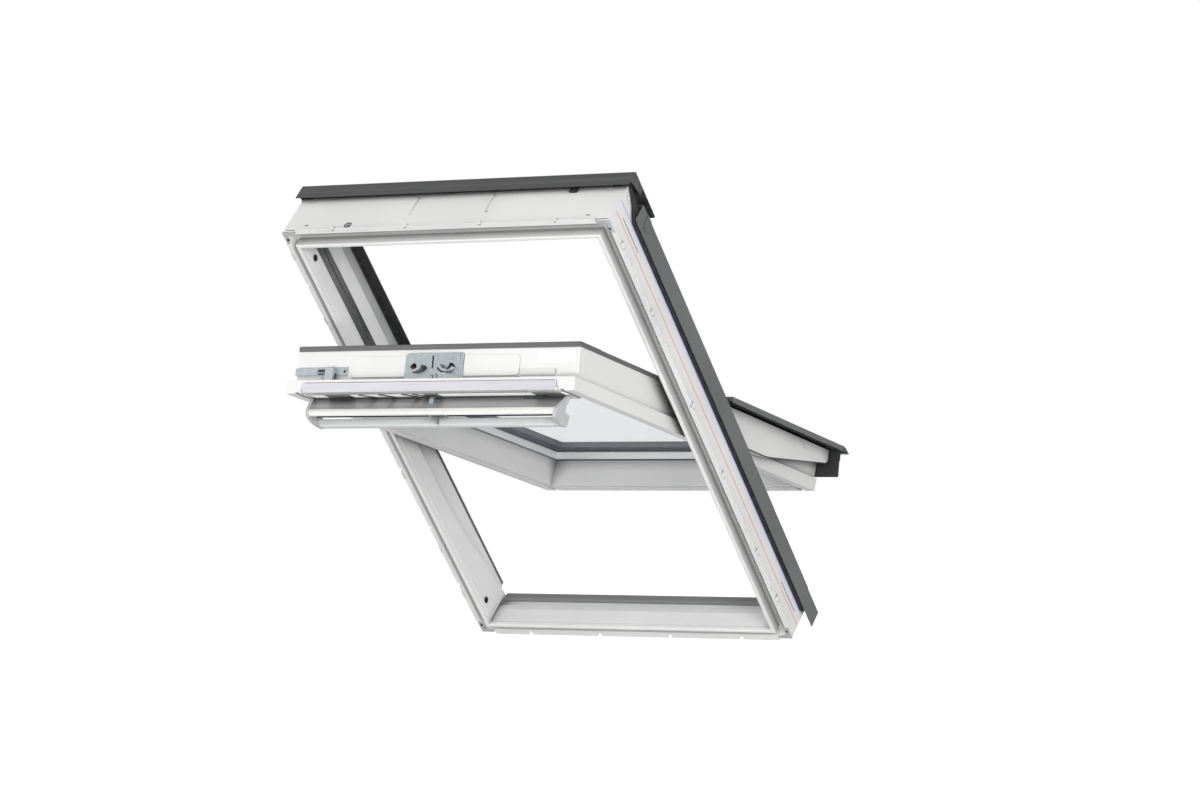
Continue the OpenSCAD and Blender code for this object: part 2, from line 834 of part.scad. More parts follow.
module glass_spacer() {
    color([0.85, 0.86, 0.87]) in_roof() opened()
        glass_ring(seal_t, seal_t + spacer_w, glass_n + pane_t, glass_out - pane_t);
}

module glass_edge_seal() {
    color(black) in_roof() opened() glass_ring(0, seal_t, glass_n + pane_t, glass_out - pane_t);
}

bead_out = 3;

module glazing_gasket() {
    color(black) in_roof() opened() {
        glass_ring(0, glass_bite - 2, bed_n, glass_n);
        glass_ring(2, cover_lap, glass_out, glass_out + bead_out);
    }
}

// --- covers of the sash -------------------------------------------------------------------

cover_in_l = glass_l + cover_lap;
cover_in_r = glass_r - cover_lap;
cover_in_top = glass_top + cover_lap;
cover_in_end = glass_end - cover_lap;
cover_foot = glass_out + bead_out;
cover_start = pivot_v + 20;

module sash_top_cover() {
    color(dark_grey) in_roof() opened() difference() {
        across(body_l, body_r)
            polygon([[body_top - 2, sash_n], [body_top, sash_n], [body_top, sash_cover_n - sheet],
                [cover_in_top - sheet, sash_cover_n - sheet], [cover_in_top - sheet, cover_foot],
                [cover_in_top, cover_foot], [cover_in_top, sash_cover_n], [body_top, sash_cover_n],
                [body_top - 2, sash_cover_n - 2]]);
        // the inner fold stops at the walls of the stiles
        for (x = [body_l - 1, glass_r])
            box(x, x + glass_l - body_l + 1, cover_in_top - sheet - 1, cover_in_top + 1,
                cover_foot - 1, sash_n);
    }
}

module sash_upper_cover() {
    down(cover_in_top, pivot_v + 10)
        polygon([[body_l, sash_n], [body_l + sheet, sash_n], [body_l + sheet, sash_cover_n - sheet],
            [cover_in_l - sheet, sash_cover_n - sheet], [cover_in_l - sheet, cover_foot],
            [cover_in_l, cover_foot], [cover_in_l, sash_cover_n], [body_l + 2, sash_cover_n],
            [body_l, sash_cover_n - 2]]);
}

module sash_upper_covers() {
    color(dark_grey) in_roof() opened() {
        sash_upper_cover();
        on_right() sash_upper_cover();
    }
}

// The lower side covers reach out over the side covers of the frame
module sash_lower_cover() {
    foot = cover_n + 1.2;
    top = sash_cover_n - 1;
    difference() {
        down(cover_start, tail_v)
            polygon([[-cover_over, foot], [sheet - cover_over, foot], [sheet - cover_over, top - sheet],
                [cover_in_l - sheet, top - sheet], [cover_in_l - sheet, cover_foot],
                [cover_in_l, cover_foot], [cover_in_l, top], [2 - cover_over, top],
                [-cover_over, top - 2]]);
        // the inner fold stops at the wall of the bottom rail
        box(cover_in_l - sheet - 1, cover_in_l + 1, glass_end, tail_v + 1, cover_foot - 1, sash_n);
    }
}

module sash_lower_cover_left() {
    color(dark_grey) in_roof() opened() sash_lower_cover();
}

module sash_lower_cover_right() {
    color(dark_grey) in_roof() opened() on_right() sash_lower_cover();
}

module sash_bottom_cover() {
    top = sash_cover_n - 1;
    color(dark_grey) in_roof() opened() {
        across(cover_in_l, cover_in_r)
            polygon([[cover_in_end, cover_foot], [cover_in_end + sheet, cover_foot],
                [cover_in_end + sheet, top - sheet], [tail_v, top - sheet], [tail_v, top],
                [cover_in_end, top]]);
        across(-cover_over, frame_w + cover_over)
            polygon([[tail_v, top - sheet], [tail_v, top], [tail_v + 16, top - 3.5], [nose_v, top - 12.5],
                [nose_v - 1, top - 14.4], [seal_back + 1, top - 14.4], [seal_back + 1, top - 12.8],
                [nose_v - 5, top - 12.6], [tail_v + 16, top - 5.7]]);
    }
}

// Black rubber block along the sash's lower edge
seal_front = foot_v;
seal_back = foot_v + 12;

module sash_bottom_seal() {
    end_x = skin + 1.5;
    color(black) in_roof() opened() across(end_x, frame_w - end_x)
        polygon([[seal_front, shelf_n + 5], [seal_back - 2.5, shelf_n + 5], [seal_back - 2.5, frame_d - 7],
            [seal_back, frame_d - 7], [seal_back, cover_n + 0.6], [seal_front, cover_n + 0.6]]);
}

// --- lock ---------------------------------------------------------------------------------

claw_pivot_x = 30;
claw_pivot_n = lock_n + 10;
claw_pin_r = 3;
hook_x = 38;
hook_r = 18;
hook_t = 5;
claw_swing = 25;
lock_sheet = 3;
claw_t = 4;
claw_front = body_top - 16;

// Point of the left claw's ring, about its pivot, with the claw turned by a swing
function on_ring(swing, r, angle) =
    let (x = claw_pivot_x - hook_x + r * cos(angle), n = claw_n - claw_pivot_n + r * sin(angle))
    [x * cos(swing) + n * sin(swing), n * cos(swing) - x * sin(swing)];

// Run of angles from one end to the other, in even steps
function run(from, to, steps) = [for (i = [0:steps]) from + (to - from) * i / steps];

// Hook of the left claw: part of the ring
module hook(from, to) {
    polygon([for (a = run(from, to, 10)) on_ring(0, hook_r, a),
        for (a = run(to, from, 10)) on_ring(0, hook_r - hook_t, a)]);
}

// Outline that the hook sweeps as the left claw turns, with room all round
module hook_sweep() {
    room = 1.1;
    low = 203;
    high = 354;
    near = 289;
    fork = 14;
    r0 = hook_r - hook_t - room;
    r1 = hook_r + room;
    polygon([for (a = run(low, near, 6)) on_ring(0, r1, a),
        for (a = run(near, high, 5)) on_ring(claw_swing, r1, a),
        on_ring(claw_swing / 2, r1, high), on_ring(0, r1, high),
        for (a = run(high, near + fork, 5)) on_ring(0, r0, a),
        for (a = run(near - fork, low, 6)) on_ring(claw_swing, r0, a),
        on_ring(claw_swing, r1, low), on_ring(claw_swing / 2, r1, low)]);
}

// Extrudes an outline drawn about the left claw's pivot, from one slope depth to another
module at_claw(v0, v1) {
    translate([lock_x - claw_pivot_x, v0, claw_pivot_n]) rotate([-90, 0, 0]) mirror([0, 1, 0])
        linear_extrude(v1 - v0) children();
}

module claw() {
    boss_r = claw_pin_r + 2.5;
    neck_w = 6;
    difference() {
        union() {
            at_claw(claw_front, body_top + 2) hook(255, 352);
            at_claw(body_top - 9, body_top + 2) hook(205, 256);
            at_claw(body_top + 1, body_top + 1 + claw_t) {
                hook(205, 352);
                circle(r = boss_r);
                translate([-neck_w / 2, 0]) square([neck_w, hook_r - hook_t / 2 - boss_r]);
            }
        }
        at_claw(body_top - 1, body_top + 10) circle(r = claw_pin_r + pin_play);
    }
}

module mirror_lock() {
    translate([2 * lock_x, 0, 0]) mirror([1, 0, 0]) children();
}

module lock_claw_left() {
    color(zinc) in_roof() opened() claw();
}

module lock_claw_right() {
    color(zinc) in_roof() opened() mirror_lock() claw();
}

module rounded_plate(w, h, r) {
    for (sx = [r, w - r], sy = [r, h - r]) translate([sx, sy]) circle(r = r);
    translate([r, 0]) square([w - 2 * r, h]);
    translate([0, r]) square([w, h - 2 * r]);
}

// Plate with a slot for the striker and openings for the claws, and a tray behind it
module lock_case() {
    slot_w = 4;
    tray_t = 1.5;
    color(zinc) in_roof() opened() {
        difference() {
            translate([lock_x - lock_w / 2, body_top, lock_n]) rotate([90, 0, 0])
                linear_extrude(lock_sheet) rounded_plate(lock_w, lock_h, 8);
            box(lock_x - slot_w / 2, lock_x + slot_w / 2, 0, 2 * body_top, lock_n + 24, lock_n + lock_h - 6);
            for (side = [0, 1])
                translate([side * 2 * lock_x, 0, 0]) mirror([side, 0, 0])
                    at_claw(body_top - lock_sheet - 1, body_top + 1) hook_sweep();
            for (p = rivet_places)
                slope_rod(lock_x + p[0], 0, 2 * body_top, lock_n + p[1], rivet_r);
        }
        difference() {
            box(lock_x - case_half, lock_x + case_half, body_top, body_top + case_d, case_n0, case_n1);
            box(lock_x - case_half + tray_t, lock_x + case_half - tray_t, body_top - 1,
                body_top + case_d - tray_t, case_n0 + tray_t, case_n1 - tray_t);
        }
        for (s = [-1, 1])
            slope_rod(lock_x + s * claw_pivot_x, body_top, body_top + case_d, claw_pivot_n, claw_pin_r);
    }
}

rivet_r = 2.5;
rivet_places = [[-57, 14], [57, 14], [-43, 45], [43, 45]];

module lock_rivets() {
    color(zinc) in_roof() opened()
        for (p = rivet_places) {
            slope_rod(lock_x + p[0], body_top - lock_sheet, body_top, lock_n + p[1], rivet_r);
            slope_rod(lock_x + p[0], body_top - lock_sheet - 0.8, body_top - lock_sheet, lock_n + p[1],
                rivet_r + 0.8);
        }
}

// Eye of the rod that comes up from the control bar
module lock_pull() {
    color(zinc) in_roof() opened()
        difference() {
            union() {
                box(lock_x - 4, lock_x + 4, body_top - 6.5, body_top - lock_sheet, flange_n, lock_n + 9);
                slope_rod(lock_x, body_top - 6.5, body_top - lock_sheet, lock_n + 9, 4);
            }
            slope_rod(lock_x, body_top - 8, body_top, lock_n + 8, 1.8);
        }
}

// --- barrel bolt --------------------------------------------------------------------------

bolt_play = 0.05;
knob_l = 20;
stem_t = 6.4;
stem_gap = 0.5;
face_t = 1.5;

module bolt_housing() {
    color(zinc) in_roof() opened() difference() {
        union() {
            box(body_l, housing_end, body_top, body_top + pocket_d, bolt_n - bolt_half, bolt_n + bolt_half);
            box(body_l - 4, housing_end - 8, body_top - face_t, body_top, bolt_n - 7, bolt_n + 8);
            slope_rod(housing_end - 8, body_top - face_t, body_top, bolt_n + 0.5, 7.5);
        }
        rod(body_l - 5, housing_end - 6, bolt_v, bolt_n, bolt_r + bolt_play);
        box(knob_x - knob_l - bolt_travel - stem_gap, knob_x + stem_gap, body_top - 5, bolt_v,
            bolt_n - stem_t / 2 - stem_gap, bolt_n + stem_t / 2 + stem_gap);
    }
}

module bolt_rod() {
    color(zinc) in_roof() opened() {
        rod(bolt_rest, knob_x, bolt_v, bolt_n, bolt_r);
        box(knob_x - knob_l, knob_x, body_top - 9, bolt_v, bolt_n - stem_t / 2, bolt_n + stem_t / 2);
        across(knob_x - knob_l, knob_x)
            polygon([[body_top - 14, flange_n + 2], [body_top - 12, flange_n + 1],
                [body_top - 9, flange_n + 1], [body_top - 8, flange_n + 2], [body_top - 6, bolt_n - 8],
                [body_top - 4, bolt_n + 6], [body_top - 7, bolt_n + 8], [body_top - 12, bolt_n + 6]]);
    }
}

// Bare label on the top rail
module blank_label() {
    color([0.97, 0.97, 0.97]) in_roof() opened()
        box(body_r - 97, body_r - 9, body_top - 0.3, body_top, sash_n - 32, sash_n - 4);
}

// --- ventilation flap ---------------------------------------------------------------------

flap_t = 2.8;
flap_v = sash_top - 2.6;
flap_n = sash_back + 3;
flap_pin_r = 1.5;

module vent_filter() {
    color([0.3, 0.31, 0.32]) in_roof() opened()
        box(flap_l + 6.5, flap_r - 6.5, sash_top + 3, sash_top + channel_d,
            channel_n0 + 0.5, channel_n1 - 0.5);
}

module vent_flap() {
    color(lavender) in_roof() opened() {
        across(flap_l, flap_r)
            polygon([[sash_top - 4, sash_back + 1], [sash_top - 4 + flap_t, sash_back + 1],
                [sash_top - 4 + flap_t, sash_back + 1 + flap_h], [sash_top - 4, sash_back + 1 + flap_h]]);
        rod(flap_l - 4.5, flap_r + 4.5, flap_v, flap_n, flap_pin_r);
    }
}

// --- control bar --------------------------------------------------------------------------

barrel_r = 5.5;
notch_r = 10;
bracket_w = 44;
bracket_x = [flap_l + 50, flap_r - 50 - bracket_w];
bar_top_v = bar_axis_v - 4;
bar_top_n = sash_back - 1.5;
crest_v = sash_top + 18.5;
crest_n = sash_back - 29.5;
nose_n = sash_back - 41.5;
lean = 0.26;

// Brackets under the top rail, and the pins on which the bar hangs
module bar_brackets() {
    color([0.2, 0.21, 0.2]) in_roof() opened()
        for (x = bracket_x)
            difference() {
                union() {
                    across(x, x + bracket_w)
                        polygon([[bar_axis_v - 5, bar_axis_n], [bar_axis_v - 5, sash_back],
                            [bar_axis_v + 8, sash_back], [bar_axis_v + 5, bar_axis_n]]);
                    rod(x, x + bracket_w, bar_axis_v, bar_axis_n, 5);
                }
                rod(x - 1, x + bracket_w + 1, bar_axis_v, bar_axis_n, bar_pin_r);
            }
}

module bar_bracket_pins() {
    color(zinc) in_roof() opened()
        for (x = bracket_x)
            rod(x - 9, x + bracket_w + 9, bar_axis_v, bar_axis_n, bar_pin_r);
}

// Keeps what lies between the end caps, which lean in towards the room
module between_caps(inset) {
    x0 = bar_x0 + inset;
    x1 = bar_x1 - inset;
    reach = 70;
    intersection() {
        children();
        down(0, frame_h)
            polygon([[x0, sash_back], [x1, sash_back], [x1 - reach * lean, sash_back - reach],
                [x0 + reach * lean, sash_back - reach]]);
    }
}

// Section of the profile: face from the barrel to the crest, rounded nose, hollow back
module bar_section() {
    polygon([[bar_top_v, bar_top_n], [crest_v, crest_n], [crest_v - 4, crest_n - 4.5],
        [crest_v - 5.5, crest_n - 8.5], [crest_v - 5, nose_n - 1], [crest_v - 2.5, nose_n - 2.5],
        [crest_v - 1, nose_n - 1], [crest_v - 1, crest_n - 8], [crest_v + 5, crest_n - 1],
        [bar_axis_v, bar_axis_n - barrel_r + 1]]);
}

module bar_profile() {
    color(bar_grey) in_roof() opened() difference() {
        between_caps(cap_t) difference() {
            union() {
                across(bar_x0, bar_x1) bar_section();
                rod(bar_x0, bar_x1, bar_axis_v, bar_axis_n, barrel_r);
            }
            rod(bar_x0 - 1, bar_x1 + 1, bar_axis_v, bar_axis_n, bar_pin_r + pin_play);
        }
        for (x = bracket_x)
            rod(x - 1, x + bracket_w + 1, bar_axis_v, bar_axis_n, notch_r);
    }
}

rail_v = sash_top + 52;
rail_n = sash_back - 43;
rail_w = 16;
rail_h = 16;

module rail_section() {
    polygon([[rail_v, rail_n - 1], [rail_v + 2, rail_n], [rail_v + rail_w, rail_n + 1],
        [rail_v + rail_w + 1, rail_n - rail_h + 1], [rail_v + rail_w, rail_n - rail_h - 1],
        [rail_v + 2, rail_n - rail_h], [rail_v, rail_n - rail_h + 3]]);
}

module bar_lower_rail() {
    color(pale_grey) in_roof() opened() between_caps(cap_t) across(bar_x0, bar_x1) rail_section();
}

// Crescent of the end caps and of the rib
module bar_outline() {
    polygon([[bar_axis_v - 1, bar_axis_n + 5.5], [bar_top_v, bar_top_n], [sash_top + 31, sash_back - 13.5],
        [sash_top + 19, sash_back - 26.5], [sash_top + 14, sash_back - 34], [sash_top + 12.5, sash_back - 41],
        [sash_top + 16, sash_back - 48], [sash_top + 24, sash_back - 53], [sash_top + 38, sash_back - 58],
        [sash_top + 52, sash_back - 60.5], [sash_top + 68, sash_back - 61], [sash_top + 70, sash_back - 56],
        [sash_top + 69, sash_back - 38], [sash_top + 58, sash_back - 37], [sash_top + 48, sash_back - 33],
        [sash_top + 44, sash_back - 24], [bar_axis_v + 3, bar_axis_n - 4], [bar_axis_v + 5, bar_axis_n],
        [bar_axis_v + 3, bar_axis_n + 4.5]]);
}

module bar_cap() {
    reach = 70;
    intersection() {
        across(bar_x0 - 1, bar_x0 + cap_t + reach) bar_outline();
        down(0, frame_h)
            polygon([[bar_x0, sash_back], [bar_x0 + cap_t, sash_back],
                [bar_x0 + cap_t + reach * lean, sash_back - reach],
                [bar_x0 + reach * lean, sash_back - reach]]);
    }
}

module bar_cap_left() {
    color(pale_grey) in_roof() opened() bar_cap();
}

module bar_cap_right() {
    color(pale_grey) in_roof() opened() on_right() bar_cap();
}

// Thin web that ties the lower rail to the profile at mid length
module bar_rib() {
    rib_x = frame_w / 2;
    color(bar_grey) in_roof() opened() difference() {
        across(rib_x, rib_x + 3)
            polygon([[crest_v - 2.5, nose_n], [crest_v + 2, crest_n - 2], [crest_v + 12, crest_n + 2],
                [rail_v + rail_w - 2, rail_n + 2], [rail_v + 4, rail_n - 2],
                [rail_v + 2, rail_n - rail_h + 2], [crest_v + 2, nose_n - 7]]);
        across(rib_x - 1, rib_x + 4) bar_section();
        across(rib_x - 1, rib_x + 4) rail_section();
    }
}

// Foot and eye on the bar's face for the rod to the lock
module bar_link() {
    eye_v = bar_axis_v - 15;
    eye_n = bar_axis_n;
    slope = atan2(bar_top_n - crest_n, bar_top_v - crest_v);
    color(zinc) in_roof() opened() difference() {
        union() {
            translate([lock_x - 14, crest_v + 9, crest_n + 9 * tan(slope)]) rotate([slope, 0, 0])
                cube([32, 12, 2]);
            across(lock_x - 4, lock_x + 6)
                polygon([[eye_v - 4, eye_n - 1], [eye_v - 1, eye_n + 4], [eye_v + 3, eye_n + 4],
                    [crest_v + 20, crest_n + 20 * tan(slope)], [crest_v + 8, crest_n + 8 * tan(slope)]]);
        }
        rod(lock_x - 6, lock_x + 8, eye_v, eye_n, 1.8);
    }
}

frame_top_rail();
frame_bottom_rail();
frame_left_jamb();
frame_right_jamb();
frame_corner_plates();
frame_corner_screws();
frame_edge_flanges();
top_casing();
side_cover_left();
side_cover_right();
upper_cover_left();
upper_cover_right();
bottom_frame_cover();
cover_gaskets();
cover_clips();
jamb_seals();
top_rail_seal();
bottom_rail_seal();
frame_hinge_left();
frame_hinge_right();
frame_hinge_screws();
striker();
striker_screws();
bolt_bushes();
sash_top_rail();
sash_bottom_rail();
sash_left_stile();
sash_right_stile();
glass_outer();
glass_inner();
glass_spacer();
glass_edge_seal();
glazing_gasket();
sash_top_cover();
sash_upper_covers();
sash_lower_cover_left();
sash_lower_cover_right();
sash_bottom_cover();
sash_bottom_seal();
sash_hinge_left();
sash_hinge_right();
sash_hinge_screws();
lock_case();
lock_rivets();
lock_claw_left();
lock_claw_right();
bolt_housing();
bolt_rod();
blank_label();
vent_filter();
bar_brackets();
bar_bracket_pins();
vent_flap();
bar_profile();
bar_lower_rail();
bar_cap_left();
bar_cap_right();
bar_rib();
bar_link();
lock_pull();
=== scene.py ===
"""Centre-pivot roof window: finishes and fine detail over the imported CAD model.

Places are given in millimetres in the window's own flat drawing: x to the right seen from the
room, v down the slope, n outward, from the frame's top left corner on the room side. roof() puts
such a point in the tilted frame and sash() in the opened sash.
"""
import json
import math

import bmesh
import bpy
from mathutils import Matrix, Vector


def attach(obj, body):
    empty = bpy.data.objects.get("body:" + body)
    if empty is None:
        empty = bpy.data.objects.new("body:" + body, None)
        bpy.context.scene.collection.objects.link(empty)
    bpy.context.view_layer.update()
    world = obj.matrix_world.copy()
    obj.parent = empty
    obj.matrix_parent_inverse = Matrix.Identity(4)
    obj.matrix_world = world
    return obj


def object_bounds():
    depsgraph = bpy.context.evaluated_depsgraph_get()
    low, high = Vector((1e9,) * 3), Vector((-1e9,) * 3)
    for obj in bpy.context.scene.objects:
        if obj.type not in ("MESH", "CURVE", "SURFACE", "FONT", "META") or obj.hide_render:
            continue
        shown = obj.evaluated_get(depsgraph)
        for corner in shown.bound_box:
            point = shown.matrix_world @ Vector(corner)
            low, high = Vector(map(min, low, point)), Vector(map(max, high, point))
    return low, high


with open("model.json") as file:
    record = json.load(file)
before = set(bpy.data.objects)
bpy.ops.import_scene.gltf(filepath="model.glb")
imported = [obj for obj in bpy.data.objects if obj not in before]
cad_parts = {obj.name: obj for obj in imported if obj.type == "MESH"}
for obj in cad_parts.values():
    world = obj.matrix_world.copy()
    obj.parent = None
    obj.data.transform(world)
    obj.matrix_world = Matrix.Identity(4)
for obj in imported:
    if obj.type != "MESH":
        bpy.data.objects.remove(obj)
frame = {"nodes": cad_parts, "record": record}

cad_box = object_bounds()
nodes = frame["nodes"]

MM = 0.001
WIDTH, LENGTH, DEPTH = 780, 1178, 107
PITCH = math.radians(47)
OPENING = math.radians(36)
PIVOT_V, PIVOT_N = LENGTH / 2, DEPTH + 20
SIDES = ("left", "right")
# Edges that turn more than this stay sharp, and are the ones that are rounded.
SHARP = math.radians(32)


# --- places -------------------------------------------------------------------------------

def roof(x, v, n):
    """Point of the flat drawing, in the tilted frame, in metres."""
    s, o = v - LENGTH, n - DEPTH / 2
    return Vector((
        x - WIDTH / 2,
        s * math.cos(PITCH) + o * math.sin(PITCH),
        o * math.cos(PITCH) - s * math.sin(PITCH),
    )) * MM


def sash(x, v, n):
    """Point of the flat drawing, in the opened sash, in metres."""
    s, o = v - PIVOT_V, n - PIVOT_N
    return roof(
        x,
        PIVOT_V + s * math.cos(OPENING) - o * math.sin(OPENING),
        PIVOT_N + s * math.sin(OPENING) + o * math.cos(OPENING),
    )


# --- materials ----------------------------------------------------------------------------

EDGE_ROUNDING = 0.0007
# Noise stretches for streaks along x.
ALONG_X = (0.04, 4, 4)
BROAD_ALONG_X = (0.06, 4, 4)


class Finish:
    """A material under construction: a Principled shader with noise-driven inputs."""

    def __init__(self, name, roughness, metallic=0.0, colour=(0.8, 0.8, 0.8), **sockets):
        self.material = bpy.data.materials.new(name)
        self.material.use_nodes = True
        self.tree = self.material.node_tree
        self.tree.nodes.clear()
        self.shader = self.node("ShaderNodeBsdfPrincipled")
        output = self.node("ShaderNodeOutputMaterial")
        self.link(self.shader.outputs["BSDF"], output.inputs["Surface"])
        self.shader.inputs["Base Color"].default_value = (*colour, 1)
        self.shader.inputs["Roughness"].default_value = roughness
        self.shader.inputs["Metallic"].default_value = metallic
        for socket, value in sockets.items():
            self.shader.inputs[socket.replace("_", " ")].default_value = value
        self.place = self.node("ShaderNodeTexCoord").outputs["Object"]

    def node(self, kind, **settings):
        made = self.tree.nodes.new(kind)
        for key, value in settings.items():
            setattr(made, key, value)
        return made

    def link(self, source, target):
        self.tree.links.new(source, target)

    def stretched(self, stretch):
        mapping = self.node("ShaderNodeMapping")
        mapping.inputs["Scale"].default_value = stretch
        self.link(self.place, mapping.inputs["Vector"])
        return mapping.outputs["Vector"]

    def noise(self, scale, detail, stretch=(1, 1, 1)):
        made = self.node("ShaderNodeTexNoise")
        made.inputs["Scale"].default_value = scale
        made.inputs["Detail"].default_value = detail
        self.link(self.stretched(stretch), made.inputs["Vector"])
        return made.outputs["Fac"]

    def cells(self, scale):
        made = self.node("ShaderNodeTexVoronoi")
        made.inputs["Scale"].default_value = scale
        self.link(self.place, made.inputs["Vector"])
        return made.outputs["Color"]

    def ramp(self, source, *stops):
        made = self.node("ShaderNodeValToRGB")
        elements = made.color_ramp.elements
        while len(elements) < len(stops):
            elements.new(0.5)
        for element, (position, colour) in zip(elements, stops):
            element.position = position
            element.color = (*colour, 1)
        self.link(source, made.inputs["Fac"])
        return made.outputs["Color"]

    def span(self, source, low, high, start=0.3, end=0.7):
        """Takes source, from start to end, to the range from low to high."""
        made = self.node("ShaderNodeMapRange")
        set_range(made, start, end, low, high)
        self.link(source, made.inputs["Value"])
        return made.outputs["Result"]

    def colour(self, source):
        self.link(source, self.shader.inputs["Base Color"])
        return self

    def tones(self, scale, dark, light, stretch=(1, 1, 1)):
        """Base colour that drifts between two tones."""
        return self.colour(
            self.ramp(self.noise(scale, 4.0, stretch), (0.35, dark), (0.65, light)))

    def painted_crevice_shade(self, distance, darkest, start=0.35, end=0.9):
        """Paints shade into the base colour in grooves and corners, from ambient occlusion."""
        shade = self.node("ShaderNodeAmbientOcclusion", samples=8)
        shade.inputs["Distance"].default_value = distance
        darken = self.node("ShaderNodeVectorMath", operation="SCALE")
        socket = self.shader.inputs["Base Color"]
        self.link(socket.links[0].from_socket, darken.inputs[0])
        self.link(self.span(shade.outputs["AO"], darkest, 1.0, start, end), darken.inputs["Scale"])
        self.link(darken.outputs[0], socket)
        return self

    def sheen_range(self, scale, low, high, stretch=(1, 1, 1)):
        """Roughness that drifts between two values."""
        roughness = self.span(self.noise(scale, 4.0, stretch), low, high)
        self.link(roughness, self.shader.inputs["Roughness"])
        return self

    def bumps(self, *layers):
        """Each layer is (height source, strength, distance in metres), over rounded edges."""
        edges = self.node("ShaderNodeBevel", samples=4)
        edges.inputs["Radius"].default_value = EDGE_ROUNDING
        normal = edges.outputs["Normal"]
        for source, strength, distance in layers:
            bump = self.node("ShaderNodeBump")
            bump.inputs["Strength"].default_value = strength
            bump.inputs["Distance"].default_value = distance
            self.link(source, bump.inputs["Height"])
            self.link(normal, bump.inputs["Normal"])
            normal = bump.outputs["Normal"]
        self.link(normal, self.shader.inputs["Normal"])
        return self


def set_range(node, start, end, low, high):
    """Sets a Map Range node to take start..end to low..high."""
    for key, value in (("From Min", start), ("From Max", end), ("To Min", low), ("To Max", high)):
        node.inputs[key].default_value = value


def grey(value, tint=0.0):
    """A grey; a positive tint leans to blue, a negative one to cream."""
    return (value - tint, value, value + tint)


def white_moulding():
    f = Finish("white_moulding", 0.42, Coat_Weight=0.12, Coat_Roughness=0.3)
    f.tones(5, grey(0.75, -0.004), grey(0.8, -0.006)).sheen_range(9, 0.36, 0.5)
    # Painted shade: the moulding darkens in grooves and corners.
    f.painted_crevice_shade(0.045, 0.22, 0.25, 0.8)
    return f.bumps((f.noise(1400, 2), 0.12, 0.0002), (f.noise(60, 3), 0.1, 0.0003))


def corner_grey():
    f = Finish("corner_grey", 0.5)
    # Painted shade darkens the grey in its grooves and corners.
    f.tones(30, grey(0.42), grey(0.48)).sheen_range(60, 0.42, 0.6).painted_crevice_shade(0.02, 0.35)
    return f.bumps((f.noise(1800, 2), 0.2, 0.0002))


def cover_grey():
    f = Finish("cover_grey", 0.4, Coat_Weight=0.25, Coat_Roughness=0.35)
    f.tones(7, grey(0.105, 0.002), grey(0.13, 0.003)).sheen_range(14, 0.34, 0.48)
    return f.bumps((f.noise(2600, 2), 0.18, 0.00015), (f.noise(25, 2), 0.06, 0.0006))


def rolled_paint(name, dark, light, roughness, coat, smooth, rough):
    """Painted sheet with long streaks along its length."""
    streaks = (0.02, 4, 4)
    f = Finish(name, roughness, Coat_Weight=coat, Coat_Roughness=0.35)
    f.tones(22, dark, light, stretch=streaks).sheen_range(14, smooth, rough)
    return f.bumps((f.noise(2600, 2), 0.18, 0.00015), (f.noise(160, 2, streaks), 0.4, 0.0006))


def casing_shaded_grey():
    # A darker copy of the cover grey, painting shade on the top casing.
    return rolled_paint("casing_shaded_grey", grey(0.03), grey(0.075, 0.002), 0.4, 0.25, 0.3, 0.44)


def bottom_lit_grey():
    # A lighter copy of the cover grey, painting the light from above on the bottom cover.
    return rolled_paint("bottom_lit_grey", grey(0.18), grey(0.26, 0.003), 0.42, 0.2, 0.32, 0.46)


def seal_grey():
    f = Finish("seal_grey", 0.6, Specular_IOR_Level=0.35)
    f.tones(260, grey(0.045), grey(0.15), stretch=(4, 0.03, 0.03)).sheen_range(90, 0.5, 0.75)
    return f.bumps((f.noise(1600, 3), 0.35, 0.0002))


def rubber_black():
    f = Finish("rubber_black", 0.65, Specular_IOR_Level=0.35)
    f.tones(40, grey(0.018), grey(0.034)).sheen_range(90, 0.55, 0.8)
    return f.bumps((f.noise(1600, 3), 0.35, 0.0002))


def zinc():
    f = Finish("zinc", 0.38, metallic=0.85)
    spangle = f.ramp(f.cells(420), (0.0, (0.36, 0.4, 0.42)), (0.5, (0.43, 0.47, 0.49)),
                     (1.0, (0.51, 0.545, 0.56)))
    f.colour(spangle).sheen_range(300, 0.34, 0.52)
    return f.bumps((f.noise(2200, 2), 0.15, 0.00012))


def black_plastic():
    f = Finish("black_plastic", 0.5)
    f.tones(60, grey(0.016), grey(0.03)).sheen_range(120, 0.42, 0.6)
    return f.bumps((f.noise(2400, 2), 0.3, 0.00015))


def dark_steel():
    f = Finish("dark_steel", 0.4, metallic=0.6)
    f.tones(80, (0.04, 0.045, 0.045), (0.09, 0.095, 0.095)).sheen_range(160, 0.3, 0.5)
    return f.bumps((f.noise(1800, 2), 0.2, 0.00015))


def pane():
    f = Finish("pane", 0.02, colour=(0.6, 0.75, 0.95), Alpha=0.085, IOR=1.5)
    f.tones(3, (0.54, 0.7, 0.92), (0.64, 0.78, 0.96)).sheen_range(6, 0.01, 0.04)
    f.material.surface_render_method = "BLENDED"
    return f.bumps((f.noise(4, 1), 0.02, 0.0005))


def spacer_metal():
    # Painted light: emission makes the spacer glow brighter than the lamps make it.
    f = Finish("spacer_metal", 0.3, metallic=0.1, Emission_Strength=0.12)
    f.shader.inputs["Emission Color"].default_value = (1, 1, 1, 1)
    f.tones(12, grey(0.92), grey(0.96)).sheen_range(30, 0.28, 0.36)
    return f.bumps((f.noise(900, 2), 0.03, 0.00005))


